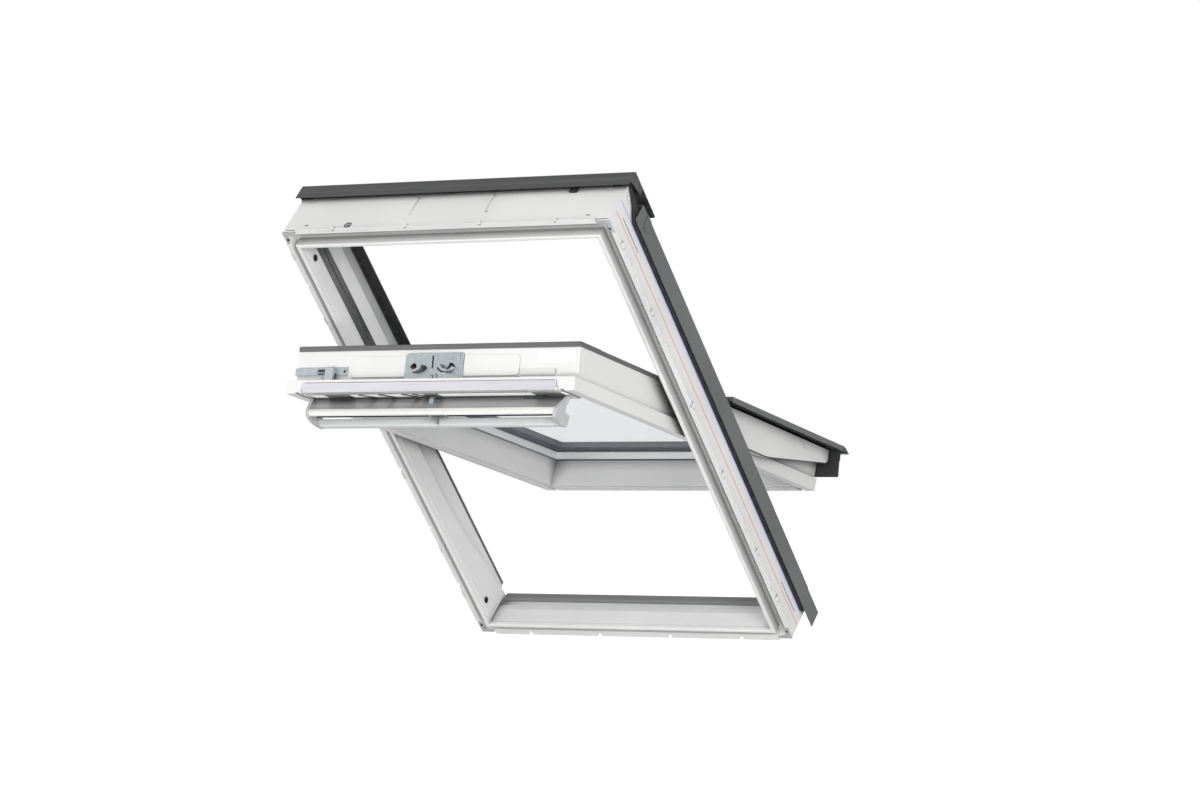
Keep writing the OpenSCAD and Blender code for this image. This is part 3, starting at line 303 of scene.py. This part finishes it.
def painted_glow_strip():
    # Painted light: emission makes the strip glow bright white.
    f = Finish("painted_glow_strip", 0.3, colour=grey(0.9), Emission_Strength=0.38)
    f.shader.inputs["Emission Color"].default_value = (1, 1, 1, 1)
    f.tones(20, grey(0.86), grey(0.92)).sheen_range(60, 0.25, 0.35)
    return f.bumps((f.noise(900, 2), 0.03, 0.0001))


def label_white():
    f = Finish("label_white", 0.35, Coat_Weight=0.2)
    f.tones(40, grey(0.8), grey(0.84)).sheen_range(80, 0.3, 0.4)
    return f.bumps((f.noise(1500, 1), 0.05, 0.0001))


def filter_foam():
    f = Finish("filter_foam", 0.95)
    f.colour(f.ramp(f.cells(900), (0.0, grey(0.04)), (1.0, grey(0.12))))
    return f.bumps((f.noise(900, 4), 0.9, 0.0006))


def flap_grey():
    f = Finish("flap_grey", 0.36, metallic=0.35)
    f.tones(90, (0.6, 0.6, 0.64), (0.67, 0.67, 0.71), stretch=BROAD_ALONG_X)
    f.sheen_range(200, 0.3, 0.44, stretch=BROAD_ALONG_X)
    return f.bumps((f.noise(900, 2, ALONG_X), 0.1, 0.0001))


def bar_metal():
    f = Finish("bar_metal", 0.4, metallic=0.4)
    brushed = (0.04, 6, 6)
    # Painted shade darkens the bar in its grooves and corners.
    f.tones(160, grey(0.3), grey(0.46), stretch=brushed).painted_crevice_shade(0.02, 0.25)
    f.sheen_range(260, 0.28, 0.46, stretch=brushed)
    return f.bumps((f.noise(900, 3, (0.03, 5, 5)), 0.35, 0.00015))


def rail_metal():
    f = Finish("rail_metal", 0.42, metallic=0.25)
    f.tones(70, (0.72, 0.745, 0.735), (0.79, 0.81, 0.8), stretch=BROAD_ALONG_X)
    f.sheen_range(200, 0.36, 0.5, stretch=BROAD_ALONG_X)
    return f.bumps((f.noise(900, 2, ALONG_X), 0.12, 0.0001))


def cap_grey():
    f = Finish("cap_grey", 0.45)
    f.tones(50, grey(0.48), grey(0.54)).sheen_range(80, 0.38, 0.52)
    return f.bumps((f.noise(2000, 2), 0.18, 0.00015))


def bar_nose_highlight():
    # A lighter copy of the bar's metal: painted highlight on the nose, where light falls.
    f = Finish("bar_nose_highlight", 0.4)
    f.tones(60, (0.76, 0.76, 0.73), (0.82, 0.82, 0.79), stretch=BROAD_ALONG_X)
    f.sheen_range(200, 0.34, 0.46, stretch=BROAD_ALONG_X)
    return f.bumps((f.noise(900, 2, ALONG_X), 0.06, 0.0001))


def coloured_thread(name, dark, light):
    f = Finish(name, 0.55)
    f.tones(300, dark, light).sheen_range(300, 0.45, 0.65)
    return f.bumps((f.noise(2400, 2), 0.15, 0.0001))


def red_thread():
    return coloured_thread("red_thread", (0.75, 0.22, 0.23), (0.83, 0.29, 0.3))


def blue_thread():
    return coloured_thread("blue_thread", (0.2, 0.2, 0.72), (0.27, 0.27, 0.8))


MAKERS = (
    white_moulding, corner_grey, cover_grey, casing_shaded_grey, bottom_lit_grey, red_thread, blue_thread,
    rubber_black, seal_grey, painted_glow_strip, zinc, black_plastic, dark_steel, pane, spacer_metal,
    label_white, filter_foam, flap_grey, bar_metal, rail_metal, cap_grey, bar_nose_highlight,
)
finishes = {maker.__name__: maker().material for maker in MAKERS}
OWN_FINISH = {
    # The casing and the bottom cover get darker and lighter copies of the cover grey, as painted
    # shade and painted light.
    "top_casing": "casing_shaded_grey",
    "bar_rib": "bar_metal",
    "jamb_seals": "seal_grey",
    "bottom_frame_cover": "bottom_lit_grey",
}


def dress_cad():
    """Gives every CAD node the finish of its slot, or its own."""
    for part in frame["record"]["subparts"]:
        thing = nodes[part["node"]]
        finish = OWN_FINISH.get(part["node"], part["material_slot"])
        thing.data.materials.clear()
        thing.data.materials.append(finishes[finish])


# --- mesh tools ---------------------------------------------------------------------------

TURN_STEPS, CORNER_STEPS = 28, 5
# Point at a distance t along an axis, from the two other coordinates.
ALONG = {
    "x": lambda a, b, t: (t, a, b),
    "v": lambda a, b, t: (a, t, b),
}


class Shape:
    """Mesh of one piece, from closed outlines in mm of the flat drawing.

    place() is roof or sash."""

    def __init__(self, place):
        self.bm = bmesh.new()
        self.place = place

    def rings(self, rings, loop=False):
        """Skin over a row of closed rings with the same number of points; a loop has no ends."""
        made = [[self.bm.verts.new(self.place(*p)) for p in ring] for ring in rings]
        for one, two in zip(made, made[1:] + made[:1] if loop else made[1:]):
            for i in range(len(one)):
                j = (i + 1) % len(one)
                self.bm.faces.new((one[i], one[j], two[j], two[i]))
        if not loop:
            self.bm.faces.new(made[0][::-1])
            self.bm.faces.new(made[-1])
        return self

    def prism(self, outline, axis, low, high):
        """outline is in the two directions other than axis, in the order x, v, n."""
        return self.rings([[ALONG[axis](a, b, t) for a, b in outline] for t in (low, high)])

    def turned(self, centre, axis, profile, loop=False):
        """Solid of revolution: profile is (radius, height along axis) from one end to the other.

        A looped profile gives a ring."""
        a0, b0 = centre
        angles = [2 * math.pi * i / TURN_STEPS for i in range(TURN_STEPS)]
        return self.rings([[ALONG[axis](a0 + r * math.cos(t), b0 + r * math.sin(t), h)
                            for t in angles] for r, h in profile], loop)

    def piece(self, name, body, slot, bevel, finish=None, segments=2):
        """Ends the mesh as an object on a body; finish is for a finish other than its slot's."""
        bmesh.ops.recalc_face_normals(self.bm, faces=self.bm.faces)
        mesh = bpy.data.meshes.new(name)
        self.bm.to_mesh(mesh)
        self.bm.free()
        for polygon in mesh.polygons:
            polygon.use_smooth = True
        mesh.set_sharp_from_angle(angle=SHARP)
        mesh.materials.append(finishes[finish or slot])
        thing = bpy.data.objects.new(name, mesh)
        bpy.context.scene.collection.objects.link(thing)
        if bevel:
            soften(thing, bevel, segments)
        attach(thing, body)


def soften(thing, width, segments):
    """Rounds the hard edges by width mm."""
    bevel = thing.modifiers.new("soft_edges", "BEVEL")
    bevel.width = width * MM
    bevel.segments = segments
    bevel.limit_method = "ANGLE"
    bevel.angle_limit = SHARP
    bevel.harden_normals = True


def rounded(a0, a1, b0, b1, r, corners=(1, 1, 1, 1)):
    """Rectangle with rounded corners, counted from (a0, b0) round to (a0, b1)."""
    outline = []
    for (a, b, start), keep in zip(
            ((a0, b0, 180), (a1, b0, 270), (a1, b1, 0), (a0, b1, 90)), corners):
        radius = r if keep else 0
        ca = a + radius if a == a0 else a - radius
        cb = b + radius if b == b0 else b - radius
        for i in range(CORNER_STEPS + 1 if keep else 1):
            angle = math.radians(start + 90 * i / CORNER_STEPS)
            outline.append((ca + radius * math.cos(angle), cb + radius * math.sin(angle)))
    return outline


def rect(a0, a1, b0, b1):
    return [(a0, b0), (a1, b0), (a1, b1), (a0, b1)]


# --- frame --------------------------------------------------------------------------------

# Outer faces of the jambs. Outlines are (v, n), and a pair is a start and an end.
SKIRT_N, RUBBER_END = 71, 1164
# Black rubber under the cover's skirt; its black band also paints the shade under the skirt.
COVER_RUBBER_AND_SHADE = (
    (2, 106), (20, 99), (38, 89), (50, 77), (62, 67.5), (70, 66.5), (RUBBER_END, 66.5),
    (RUBBER_END, SKIRT_N + 9), (1138, SKIRT_N + 9), (1132, SKIRT_N + 5), (66, SKIRT_N + 5),
    (60, 86), (54, 96), (40, 106),
)
RED_LINE_N, BLUE_LINE_N = (34.2, 36.2), (64.8, 66.5)
SLOT_V, SLOT_N = ((33.3, 123.7), (1055.3, 1145.7)), (45.7, 47.5)
PEG = (17, 88)
TAB_V = (68, 247, 502, 697, 923, 1061)
TAB_X = (122, 300, 476, 654)
TAB_N, TAB_HALF = (-1.3, 8.5), 6
# Grey lines beside each strip tab are painted shadow: their distance from the tab's middle and half
# their width.
TAB_SHADOW, TAB_SHADOW_HALF = 7.4, 0.9
RECESS_V, RECESS_N, RECESS_HALF = (118, 300, 478, 656, 834, 1010), (8.1, 16.9), 4.9


def from_side(side, inward):
    """x of a point at a distance in from a jamb's outer face."""
    return inward if side == "left" else WIDTH - inward


def on_side(side, outward):
    """x of a point at a distance out from a jamb's outer face."""
    return from_side(side, -outward)


def on_jamb(side, low, high, *outlines):
    """Prisms on (v, n) outlines at a jamb's outer face, between two distances out from it."""
    shape = Shape(roof)
    for outline in outlines:
        shape.prism(outline, "x", on_side(side, low), on_side(side, high))
    return shape


def jamb_details(side):
    """Lines, slots filled black as painted shade, strip tabs with painted shadow lines beside them,
    and cover rubber, black also as painted shade, on a jamb's outer face.
    """
    on_jamb(side, -0.4, 0.3, rect(5, LENGTH - 5, *RED_LINE_N)).piece(
        "red_line_" + side, "frame", "white_moulding", 0.15, "red_thread")
    on_jamb(side, -0.4, 0.3, rect(3, RUBBER_END - 2, *BLUE_LINE_N)).piece(
        "blue_line_" + side, "frame", "white_moulding", 0.15, "blue_thread")
    # Black fills in the slots paint the shade inside them.
    on_jamb(side, -1.4, 0.12, *(rect(*ends, *SLOT_N) for ends in SLOT_V)).piece(
        "slot_shade_fill_" + side, "frame", "black_plastic", 0.2)
    tabs = [rounded(v - TAB_HALF, v + TAB_HALF, *TAB_N, 2.2) for v in TAB_V]
    on_jamb(side, 2.5, 6.2, *tabs).piece(
        "strip_tabs_" + side, "frame", "white_moulding", 0.8, segments=3)
    # Grey lines beside each tab paint the shadow along its sides.
    middles = [v + way * TAB_SHADOW for v in TAB_V for way in (-1, 1)]
    edges = [rect(v - TAB_SHADOW_HALF, v + TAB_SHADOW_HALF, -0.9, 8) for v in middles]
    on_jamb(side, 3, 5.4, *edges).piece("tab_shadows_" + side, "frame", "corner_grey", 0.2)
    plugs = [rect(v - RECESS_HALF, v + RECESS_HALF, *RECESS_N) for v in RECESS_V]
    on_jamb(side, -2.4, -0.1, *plugs).piece("recess_plugs_" + side, "frame", "white_moulding", 0)
    # Black rubber band, which also paints the shade under the cover's skirt.
    on_jamb(side, 0.1, 6.5, COVER_RUBBER_AND_SHADE).piece(
        "cover_rubber_and_shade_" + side, "frame", "rubber_black", 0.8)
    peg = Shape(roof)
    peg.turned(PEG, "x", [(r, on_side(side, out)) for r, out in ((4, -1), (4, 2.2), (3, 3))])
    peg.piece("cover_peg_" + side, "frame", "white_moulding", 0.3)


# Outer face of the top rail. Centres are (x, n).
FIXING_HOLE = (154, 16)
RAIL_RINGS = ((28, 97), (742, 97))
RAIL_DOT = (475.8, 44)


def top_rail_details():
    """Rings, marks painted as shade in recesses and channels, clip and strip tabs on the top rail's
    outer face.
    """
    ring = Shape(roof)
    ring.turned(FIXING_HOLE, "v", [(6.6, 1.9), (6.6, 0.2), (7, -0.3), (8.4, -0.3), (8.8, 0),
                                   (7.9, 0.2), (7.9, 1.9)], loop=True)
    ring.piece("fixing_ring", "frame", "black_plastic", 0.15)
    washer = Shape(roof)
    washer.turned(FIXING_HOLE, "v", [(4.1, 1.9), (4.1, 1.1), (5.2, 0.6), (6.5, 1.0), (6.5, 1.9)],
                  loop=True)
    washer.piece("fixing_washer", "frame", "cap_grey", 0.1)
    # Black marks in the rail's recesses and channels paint their shade.
    dark = Shape(roof)
    for x in (50, 723):
        dark.prism(rounded(x - 3.6, x + 3.6, 18.3, 20.7, 1), "v", 0.2, 1)
    for x in (6.4, 682.4):
        dark.prism(rect(x, x + 91.2, 5.5, 6.6), "v", 0.1, 1.4)
    dark.turned(RAIL_DOT, "v", [(1.6, 1.1), (1.6, 0.2), (1.1, -0.2)])
    dark.piece("rail_recess_shade", "frame", "black_plastic", 0.15)
    clip = Shape(roof)
    clip.prism(rounded(650, 668, 92, 106, 1.2), "v", -3.4, 0.1)
    clip.prism(rect(654, 664, 95, 101), "v", -4.2, -3.2)
    clip.piece("casing_clip", "frame", "black_plastic", 0.4)
    recesses = Shape(roof)
    for centre in RAIL_RINGS:
        recesses.turned(centre, "v", [(5.2, 0.3), (5.2, -0.5), (6.6, -0.5), (6.6, 0.3)], loop=True)
    recesses.piece("rail_rings", "frame", "white_moulding", 0.15)
    tabs = Shape(roof)
    for x in TAB_X:
        tabs.prism(rounded(x - TAB_HALF, x + TAB_HALF, *TAB_N, 2.2), "v", -6.2, -2.5)
        tabs.prism(rounded(x - 4, x + 4, 6, 13, 3.4), "v", -0.9, 0.2)
    tabs.piece("rail_tabs", "frame", "white_moulding", 0.8, segments=3)


# Raised upper covers. Sections are (distance in from the jamb's outer face, n).
HOOD_V = (86, 496)
UPSTAND = ((35.9, 106.5), (36.7, 106.5), (36.7, 127), (37.6, 130), (36.8, 130.5), (35.9, 127.5))
LINING = ((42.3, 134.95), (64.6, 134.95), (64.6, 134.1), (56, 133.5), (54, 134), (50, 133.4),
          (47, 134), (42.3, 134))


def hood_shade_and_rubber(side):
    """Upstand of the jamb, grey as painted shade beside the raised upper cover, and the black
    rubber lining under that cover, which also paints the shade there.
    """
    for name, section, slot, bevel, finish in (
            ("hood_shaded_upstand_", UPSTAND, "white_moulding", 0.15, "corner_grey"),
            ("hood_rubber_shade_", LINING, "rubber_black", 0.1, None)):
        strip = Shape(roof)
        strip.prism([(from_side(side, x), n) for x, n in section], "v", *HOOD_V)
        strip.piece(name + side, "frame", slot, bevel, finish)


# --- sash ---------------------------------------------------------------------------------

# Room face of the sash's top rail, with the lock plate and the raised panel.
RAIL_FACE, LOCK_FRONT = 67, 64
LOCK_RIGHT, LOCK_SIDE = 457, 455
PANEL_LEFT, PANEL_RIGHT = 189, 588
PANEL_END, PANEL_START = 318.6, 449.4
PANEL_N = (64, 108)
SASH_TOP, SASH_BACK = 44, 27.5


def rail_face():
    """Raised panel beside the lock plate, the ledges under it, and the step beside the panel."""
    panel = Shape(sash)
    for ends, corners in (((PANEL_LEFT, PANEL_END), (1, 0, 0, 1)),
                          ((PANEL_START, PANEL_RIGHT), (0, 1, 1, 0))):
        outline = rounded(*ends, *PANEL_N, 8, corners)
        panel.prism(outline, "v", RAIL_FACE - 1.3, RAIL_FACE)
    panel.piece("rail_panel", "sash", "white_moulding", bevel=0.7, segments=3)
    ledge = Shape(sash)
    for ends in ((PANEL_LEFT + 2, PANEL_END), (LOCK_RIGHT + 0.4, PANEL_RIGHT)):
        ledge.prism([(RAIL_FACE, 56.2), (RAIL_FACE - 2.6, 63), (RAIL_FACE, 63.4)], "x", *ends)
    ledge.prism([(RAIL_FACE, 63), (RAIL_FACE - 2.4, 76.6), (RAIL_FACE, 77.6)],
                "x", PANEL_RIGHT + 3, 673)
    ledge.piece("rail_ledges", "sash", "white_moulding", bevel=0)


FORK_LEFT, FORK_RIGHT = 380.6, 395.6
FORK_V = (59.4, 63.9)


def lock_details():
    """Turned-down edge of the lock plate, its right side dark as painted shade, and the fork of the
    pull in front of it, with a black core that paints the shade in its hole.
    """
    edge = Shape(sash)
    edge.prism([(321, 54), (451, 54), (LOCK_SIDE, 55.5), (LOCK_RIGHT, 60), (LOCK_RIGHT, 108),
                (LOCK_SIDE, 112), (451, 113.5), (446, 113.2), (449.2, 108), (449.2, 57.6),
                (446, 57.2), (325, 57.2), (319.5, 58)], "v", LOCK_FRONT + 0.1, LOCK_FRONT + 2.9)
    edge.piece("lock_edge", "sash", "zinc", 0.5)
    # The plate's right side is dark steel to paint the shade on that edge.
    flange = Shape(sash)
    flange.prism(rect(LOCK_SIDE + 0.2, LOCK_RIGHT + 0.4, 61, 107), "v", LOCK_FRONT + 0.6, RAIL_FACE)
    flange.piece("lock_shaded_side", "sash", "dark_steel", 0.2)
    fork = Shape(sash)
    for ends in ((FORK_LEFT, 384.4), (391, FORK_RIGHT)):
        fork.prism(rounded(*ends, 55.6, 68, 1.2), "v", *FORK_V)
    fork.prism(rounded(FORK_LEFT, FORK_RIGHT, 66.6, 71.5, 2.2), "v", *FORK_V)
    fork.piece("pull_fork", "sash", "zinc", 0.4)
    # A black core paints the shade in the pull's hole.
    core = Shape(sash)
    core.prism(rect(384.6, 390.8, 56, 66.4), "v", 61.6, 63.8)
    core.piece("pull_hole_shade", "sash", "black_plastic", 0.2)


BOLT_SLOT_X, BOLT_SLOT_EDGES_N = (106, 150.5), ((71.4, 73), (81, 82.6))
BOLT_FACE = 64.9
BOLT_SCREW = (172.5, 77.5)


def bolt_details():
    """Dark edges of the bolt's slot, and the screw of its plate."""
    slot = Shape(sash)
    for heights in BOLT_SLOT_EDGES_N:
        slot.prism(rounded(*BOLT_SLOT_X, *heights, 0.7), "v", BOLT_FACE, 65.6)
    slot.piece("bolt_slot_edges", "sash", "black_plastic", 0.1)
    screw = Shape(sash)
    screw.turned(BOLT_SCREW, "v", [(2.9, 65.6), (2.9, BOLT_FACE), (2.3, 64.4), (1, 64.4),
                                   (0.9, BOLT_FACE)])
    screw.piece("bolt_plate_screw", "sash", "dark_steel", 0.1)


# Outer face of the side laps, in from the jamb's outer face; the lap's edge is (v, n).
LAP_FACE = 26
LAP_EDGE = ((642, 53), (648, 50), (834, 49), (854, 49.8), (874, 51.9), (1130, 89.0))
LAP_MARK = (1025, 107)


def lap_details(side):
    """Dark seal under the edge of the side lap, and the round mark on its face."""
    def out(distance):
        return from_side(side, LAP_FACE - distance)

    seal = Shape(sash)
    over, under = [(v, n + 0.6) for v, n in LAP_EDGE], [(v, n - 1.2) for v, n in LAP_EDGE]
    seal.prism(over + under[::-1], "x", out(-3), out(0.7))
    seal.piece("lap_seal_" + side, "sash", "rubber_black", 0.3)
    mark = Shape(sash)
    profile = ((4.6, -0.3), (4.6, 0.6), (6.2, 0.6), (6.2, -0.3))
    mark.turned(LAP_MARK, "x", [(r, out(distance)) for r, distance in profile], loop=True)
    mark.piece("lap_mark_" + side, "sash", "white_moulding", 0.2)


COVER_V, COVER_N, COVER_END = (67.4, 149.4), (121.2, 129.8), 55


def cover_cheek(side):
    """Closes the end of the sash's top cover."""
    cheek = Shape(sash)
    cheek.prism(rounded(*COVER_V, *COVER_N, 1.5), "x",
                from_side(side, COVER_END + 1.9), from_side(side, COVER_END + 0.1))
    cheek.piece("cover_cheek_" + side, "sash", "cover_grey", 0.4)


# Room-side face under the top rail.
UNDERSIDE_V, UNDERSIDE_X = (63, 83), ((96, 128), (192, 366), (404, 622), (692, 700))
LEVER_V, LEVER_X, LEVER_WIDTH, LEVER_SLANT = (60, 83), (214, 262, 318, 344), 11, 22


def top_rail_underside():
    """Strip that glows as painted light in the bright gaps between the flap and the control bar,
    and slanting dark levers seen there.
    """
    start, end = UNDERSIDE_V
    section = [(start, SASH_BACK - 0.6), (end, SASH_BACK - 0.6), (end + 0.6, SASH_BACK),
               (start - 0.6, SASH_BACK)]
    strip = Shape(sash)
    for ends in UNDERSIDE_X:
        strip.prism(section, "x", *ends)
    strip.piece("underside_glow_strip", "sash", "white_moulding", 0.1, "painted_glow_strip")
    levers = Shape(sash)
    for x in LEVER_X:
        levers.rings([[(a, v, n) for a, n in rect(left, left + LEVER_WIDTH, SASH_BACK - 1.8,
                                                  SASH_BACK - 0.7)]
                      for v, left in zip(LEVER_V, (x, x + LEVER_SLANT))])
    levers.piece("underside_levers", "sash", "dark_steel", 0.2)


# --- control bar --------------------------------------------------------------------------

# Crest and nose of the bar's section, the caps at its ends, the lower rail, and the wedge as
# (n, left x, right x).
CREST_V, CREST_N, NOSE_N = SASH_TOP + 18.5, SASH_BACK - 29.5, SASH_BACK - 41.5
BAR_LEFT, BAR_RIGHT = 82, 698
CAP_T, CAP_LEAN, CAP_GAP = 7, 0.26, 0.5
RAIL_V, RAIL_N = 96, -15.5
GUSSET_V = (73.5, 76.5)
GUSSET = ((-7.5, 384, 423), (-12, 391, 422), (-16, 399, 421), (-20, 408, 420), (-23.2, 415, 419.5))


def bar_span(n):
    """Ends of what lies between the leaning caps, at a height n."""
    shift = (SASH_BACK - n) * CAP_LEAN + CAP_T + CAP_GAP
    return BAR_LEFT + shift, BAR_RIGHT - shift


def along_bar(section):
    """Prism between the leaning caps, from a section in (v, n)."""
    return Shape(sash).rings([[(bar_span(n)[end], v, n) for v, n in section] for end in (0, 1)])


def control_bar():
    """Nose on the bar's edge, cream as a painted highlight, a painted shadow line above the lower
    rail, and wedge at the rib.
    """
    nose = [(CREST_V - 0.2, CREST_N + 0.3), (CREST_V - 4.4, CREST_N - 4.4),
            (CREST_V - 6.1, CREST_N - 8.6), (CREST_V - 5.5, NOSE_N - 1.2),
            (CREST_V - 2.5, NOSE_N - 3.1), (CREST_V - 1.6, NOSE_N - 2.2),
            (CREST_V - 4.6, NOSE_N - 0.6), (CREST_V - 5.1, CREST_N - 8.5),
            (CREST_V - 3.6, CREST_N - 4.8), (CREST_V + 0.3, CREST_N - 0.3)]
    # The nose is cream as a painted highlight.
    along_bar(nose).piece("bar_nose", "control_bar", "rail_metal", 0.25, "bar_nose_highlight")
    # A painted shadow line along the top of the lower rail.
    shade = [(RAIL_V - 8.5, RAIL_N + 5), (RAIL_V - 8.6, RAIL_N + 1.4),
             (RAIL_V - 7.9, RAIL_N + 1.2), (RAIL_V - 7.8, RAIL_N + 5.2)]
    along_bar(shade).piece("lower_rail_shadow_line", "control_bar", "dark_steel", 0.15)
    gusset = Shape(sash)
    gusset.rings([[(x, v, n) for x, v in rect(left, right, *GUSSET_V)]
                  for n, left, right in GUSSET])
    gusset.piece("rib_gusset", "control_bar", "bar_metal", 0.5)


# --- stage --------------------------------------------------------------------------------

FLOOR_DROP, FLOOR_HALF, FLOOR_GLOW = 0.9, 80.0, 0.62
WORLD_LOW, WORLD_HIGH = 0.62, 0.6


def make_floor():
    """Pale floor below the object, bright enough to merge with the background."""
    centre = (cad_box[0] + cad_box[1]) / 2
    corners = [(centre.x + sx * FLOOR_HALF, centre.y + sy * FLOOR_HALF, cad_box[0].z - FLOOR_DROP)
               for sx, sy in ((-1, -1), (1, -1), (1, 1), (-1, 1))]
    mesh = bpy.data.meshes.new("floor")
    mesh.from_pydata(corners, [], [(0, 1, 2, 3)])
    floor = bpy.data.objects.new("floor", mesh)
    bpy.context.scene.collection.objects.link(floor)
    floor.visible_diffuse = False
    floor.visible_glossy = False
    f = Finish("floor_pale", 0.9, Emission_Strength=FLOOR_GLOW)
    f.shader.inputs["Emission Color"].default_value = (1, 1, 1, 1)
    f.tones(0.7, grey(0.9), grey(0.92))
    mesh.materials.append(f.material)


def make_world():
    """White studio: the camera sees plain white, and the object gets a softer light."""
    world = bpy.data.worlds.new("studio")
    world.use_nodes = True
    tree = world.node_tree
    background = tree.nodes["Background"]
    background.inputs["Color"].default_value = (1, 1, 1, 1)
    direction = tree.nodes.new("ShaderNodeTexCoord")
    height = tree.nodes.new("ShaderNodeSeparateXYZ")
    falloff = tree.nodes.new("ShaderNodeMapRange")
    path = tree.nodes.new("ShaderNodeLightPath")
    strength = tree.nodes.new("ShaderNodeMapRange")
    set_range(falloff, -1.0, 1.0, WORLD_LOW, WORLD_HIGH)
    tree.links.new(direction.outputs["Generated"], height.inputs["Vector"])
    tree.links.new(height.outputs["Z"], falloff.inputs["Value"])
    tree.links.new(falloff.outputs["Result"], strength.inputs["To Min"])
    tree.links.new(path.outputs["Is Camera Ray"], strength.inputs["Value"])
    tree.links.new(strength.outputs["Result"], background.inputs["Strength"])
    bpy.context.scene.world = world


def area_light(name, place, target, size, power):
    """Round soft light at place, aimed at target; size in metres, power in watts."""
    data = bpy.data.lights.new(name, "AREA")
    data.shape = "DISK"
    data.size = size
    data.energy = power
    light = bpy.data.objects.new(name, data)
    light.location = place
    light.rotation_mode = "QUATERNION"
    light.rotation_quaternion = (Vector(target) - Vector(place)).to_track_quat("-Z", "Y")
    bpy.context.scene.collection.objects.link(light)


CAMERA_LENS, CAMERA_PLACE = 117.5, (4.1897, -7.6239, 0.3535)
CAMERA_TURN = (90.9477, 0.1595, 29.4068)


def make_camera():
    """Camera at the photo's angle."""
    data = bpy.data.cameras.new("camera")
    data.sensor_width = 36
    data.lens = CAMERA_LENS
    camera = bpy.data.objects.new("camera", data)
    camera.location = CAMERA_PLACE
    camera.rotation_euler = [math.radians(angle) for angle in CAMERA_TURN]
    bpy.context.scene.collection.objects.link(camera)
    bpy.context.scene.camera = camera


bpy.context.scene.view_settings.view_transform = "Standard"
dress_cad()
for window_side in SIDES:
    jamb_details(window_side)
    hood_shade_and_rubber(window_side)
    lap_details(window_side)
    cover_cheek(window_side)
top_rail_details()
rail_face()
lock_details()
bolt_details()
top_rail_underside()
control_bar()
make_floor()
make_world()
area_light("key", (4.4, -5.2, 1.3), (0, -0.3, 0.5), size=2.2, power=185)
area_light("fill", (-4.0, -4.0, 2.6), (0, -0.3, 0.5), size=3.0, power=40)
area_light("low", (1.6, -4.6, -1.4), (0, 0, 0.2), size=2.4, power=170)
make_camera()

bpy.context.view_layer.update()
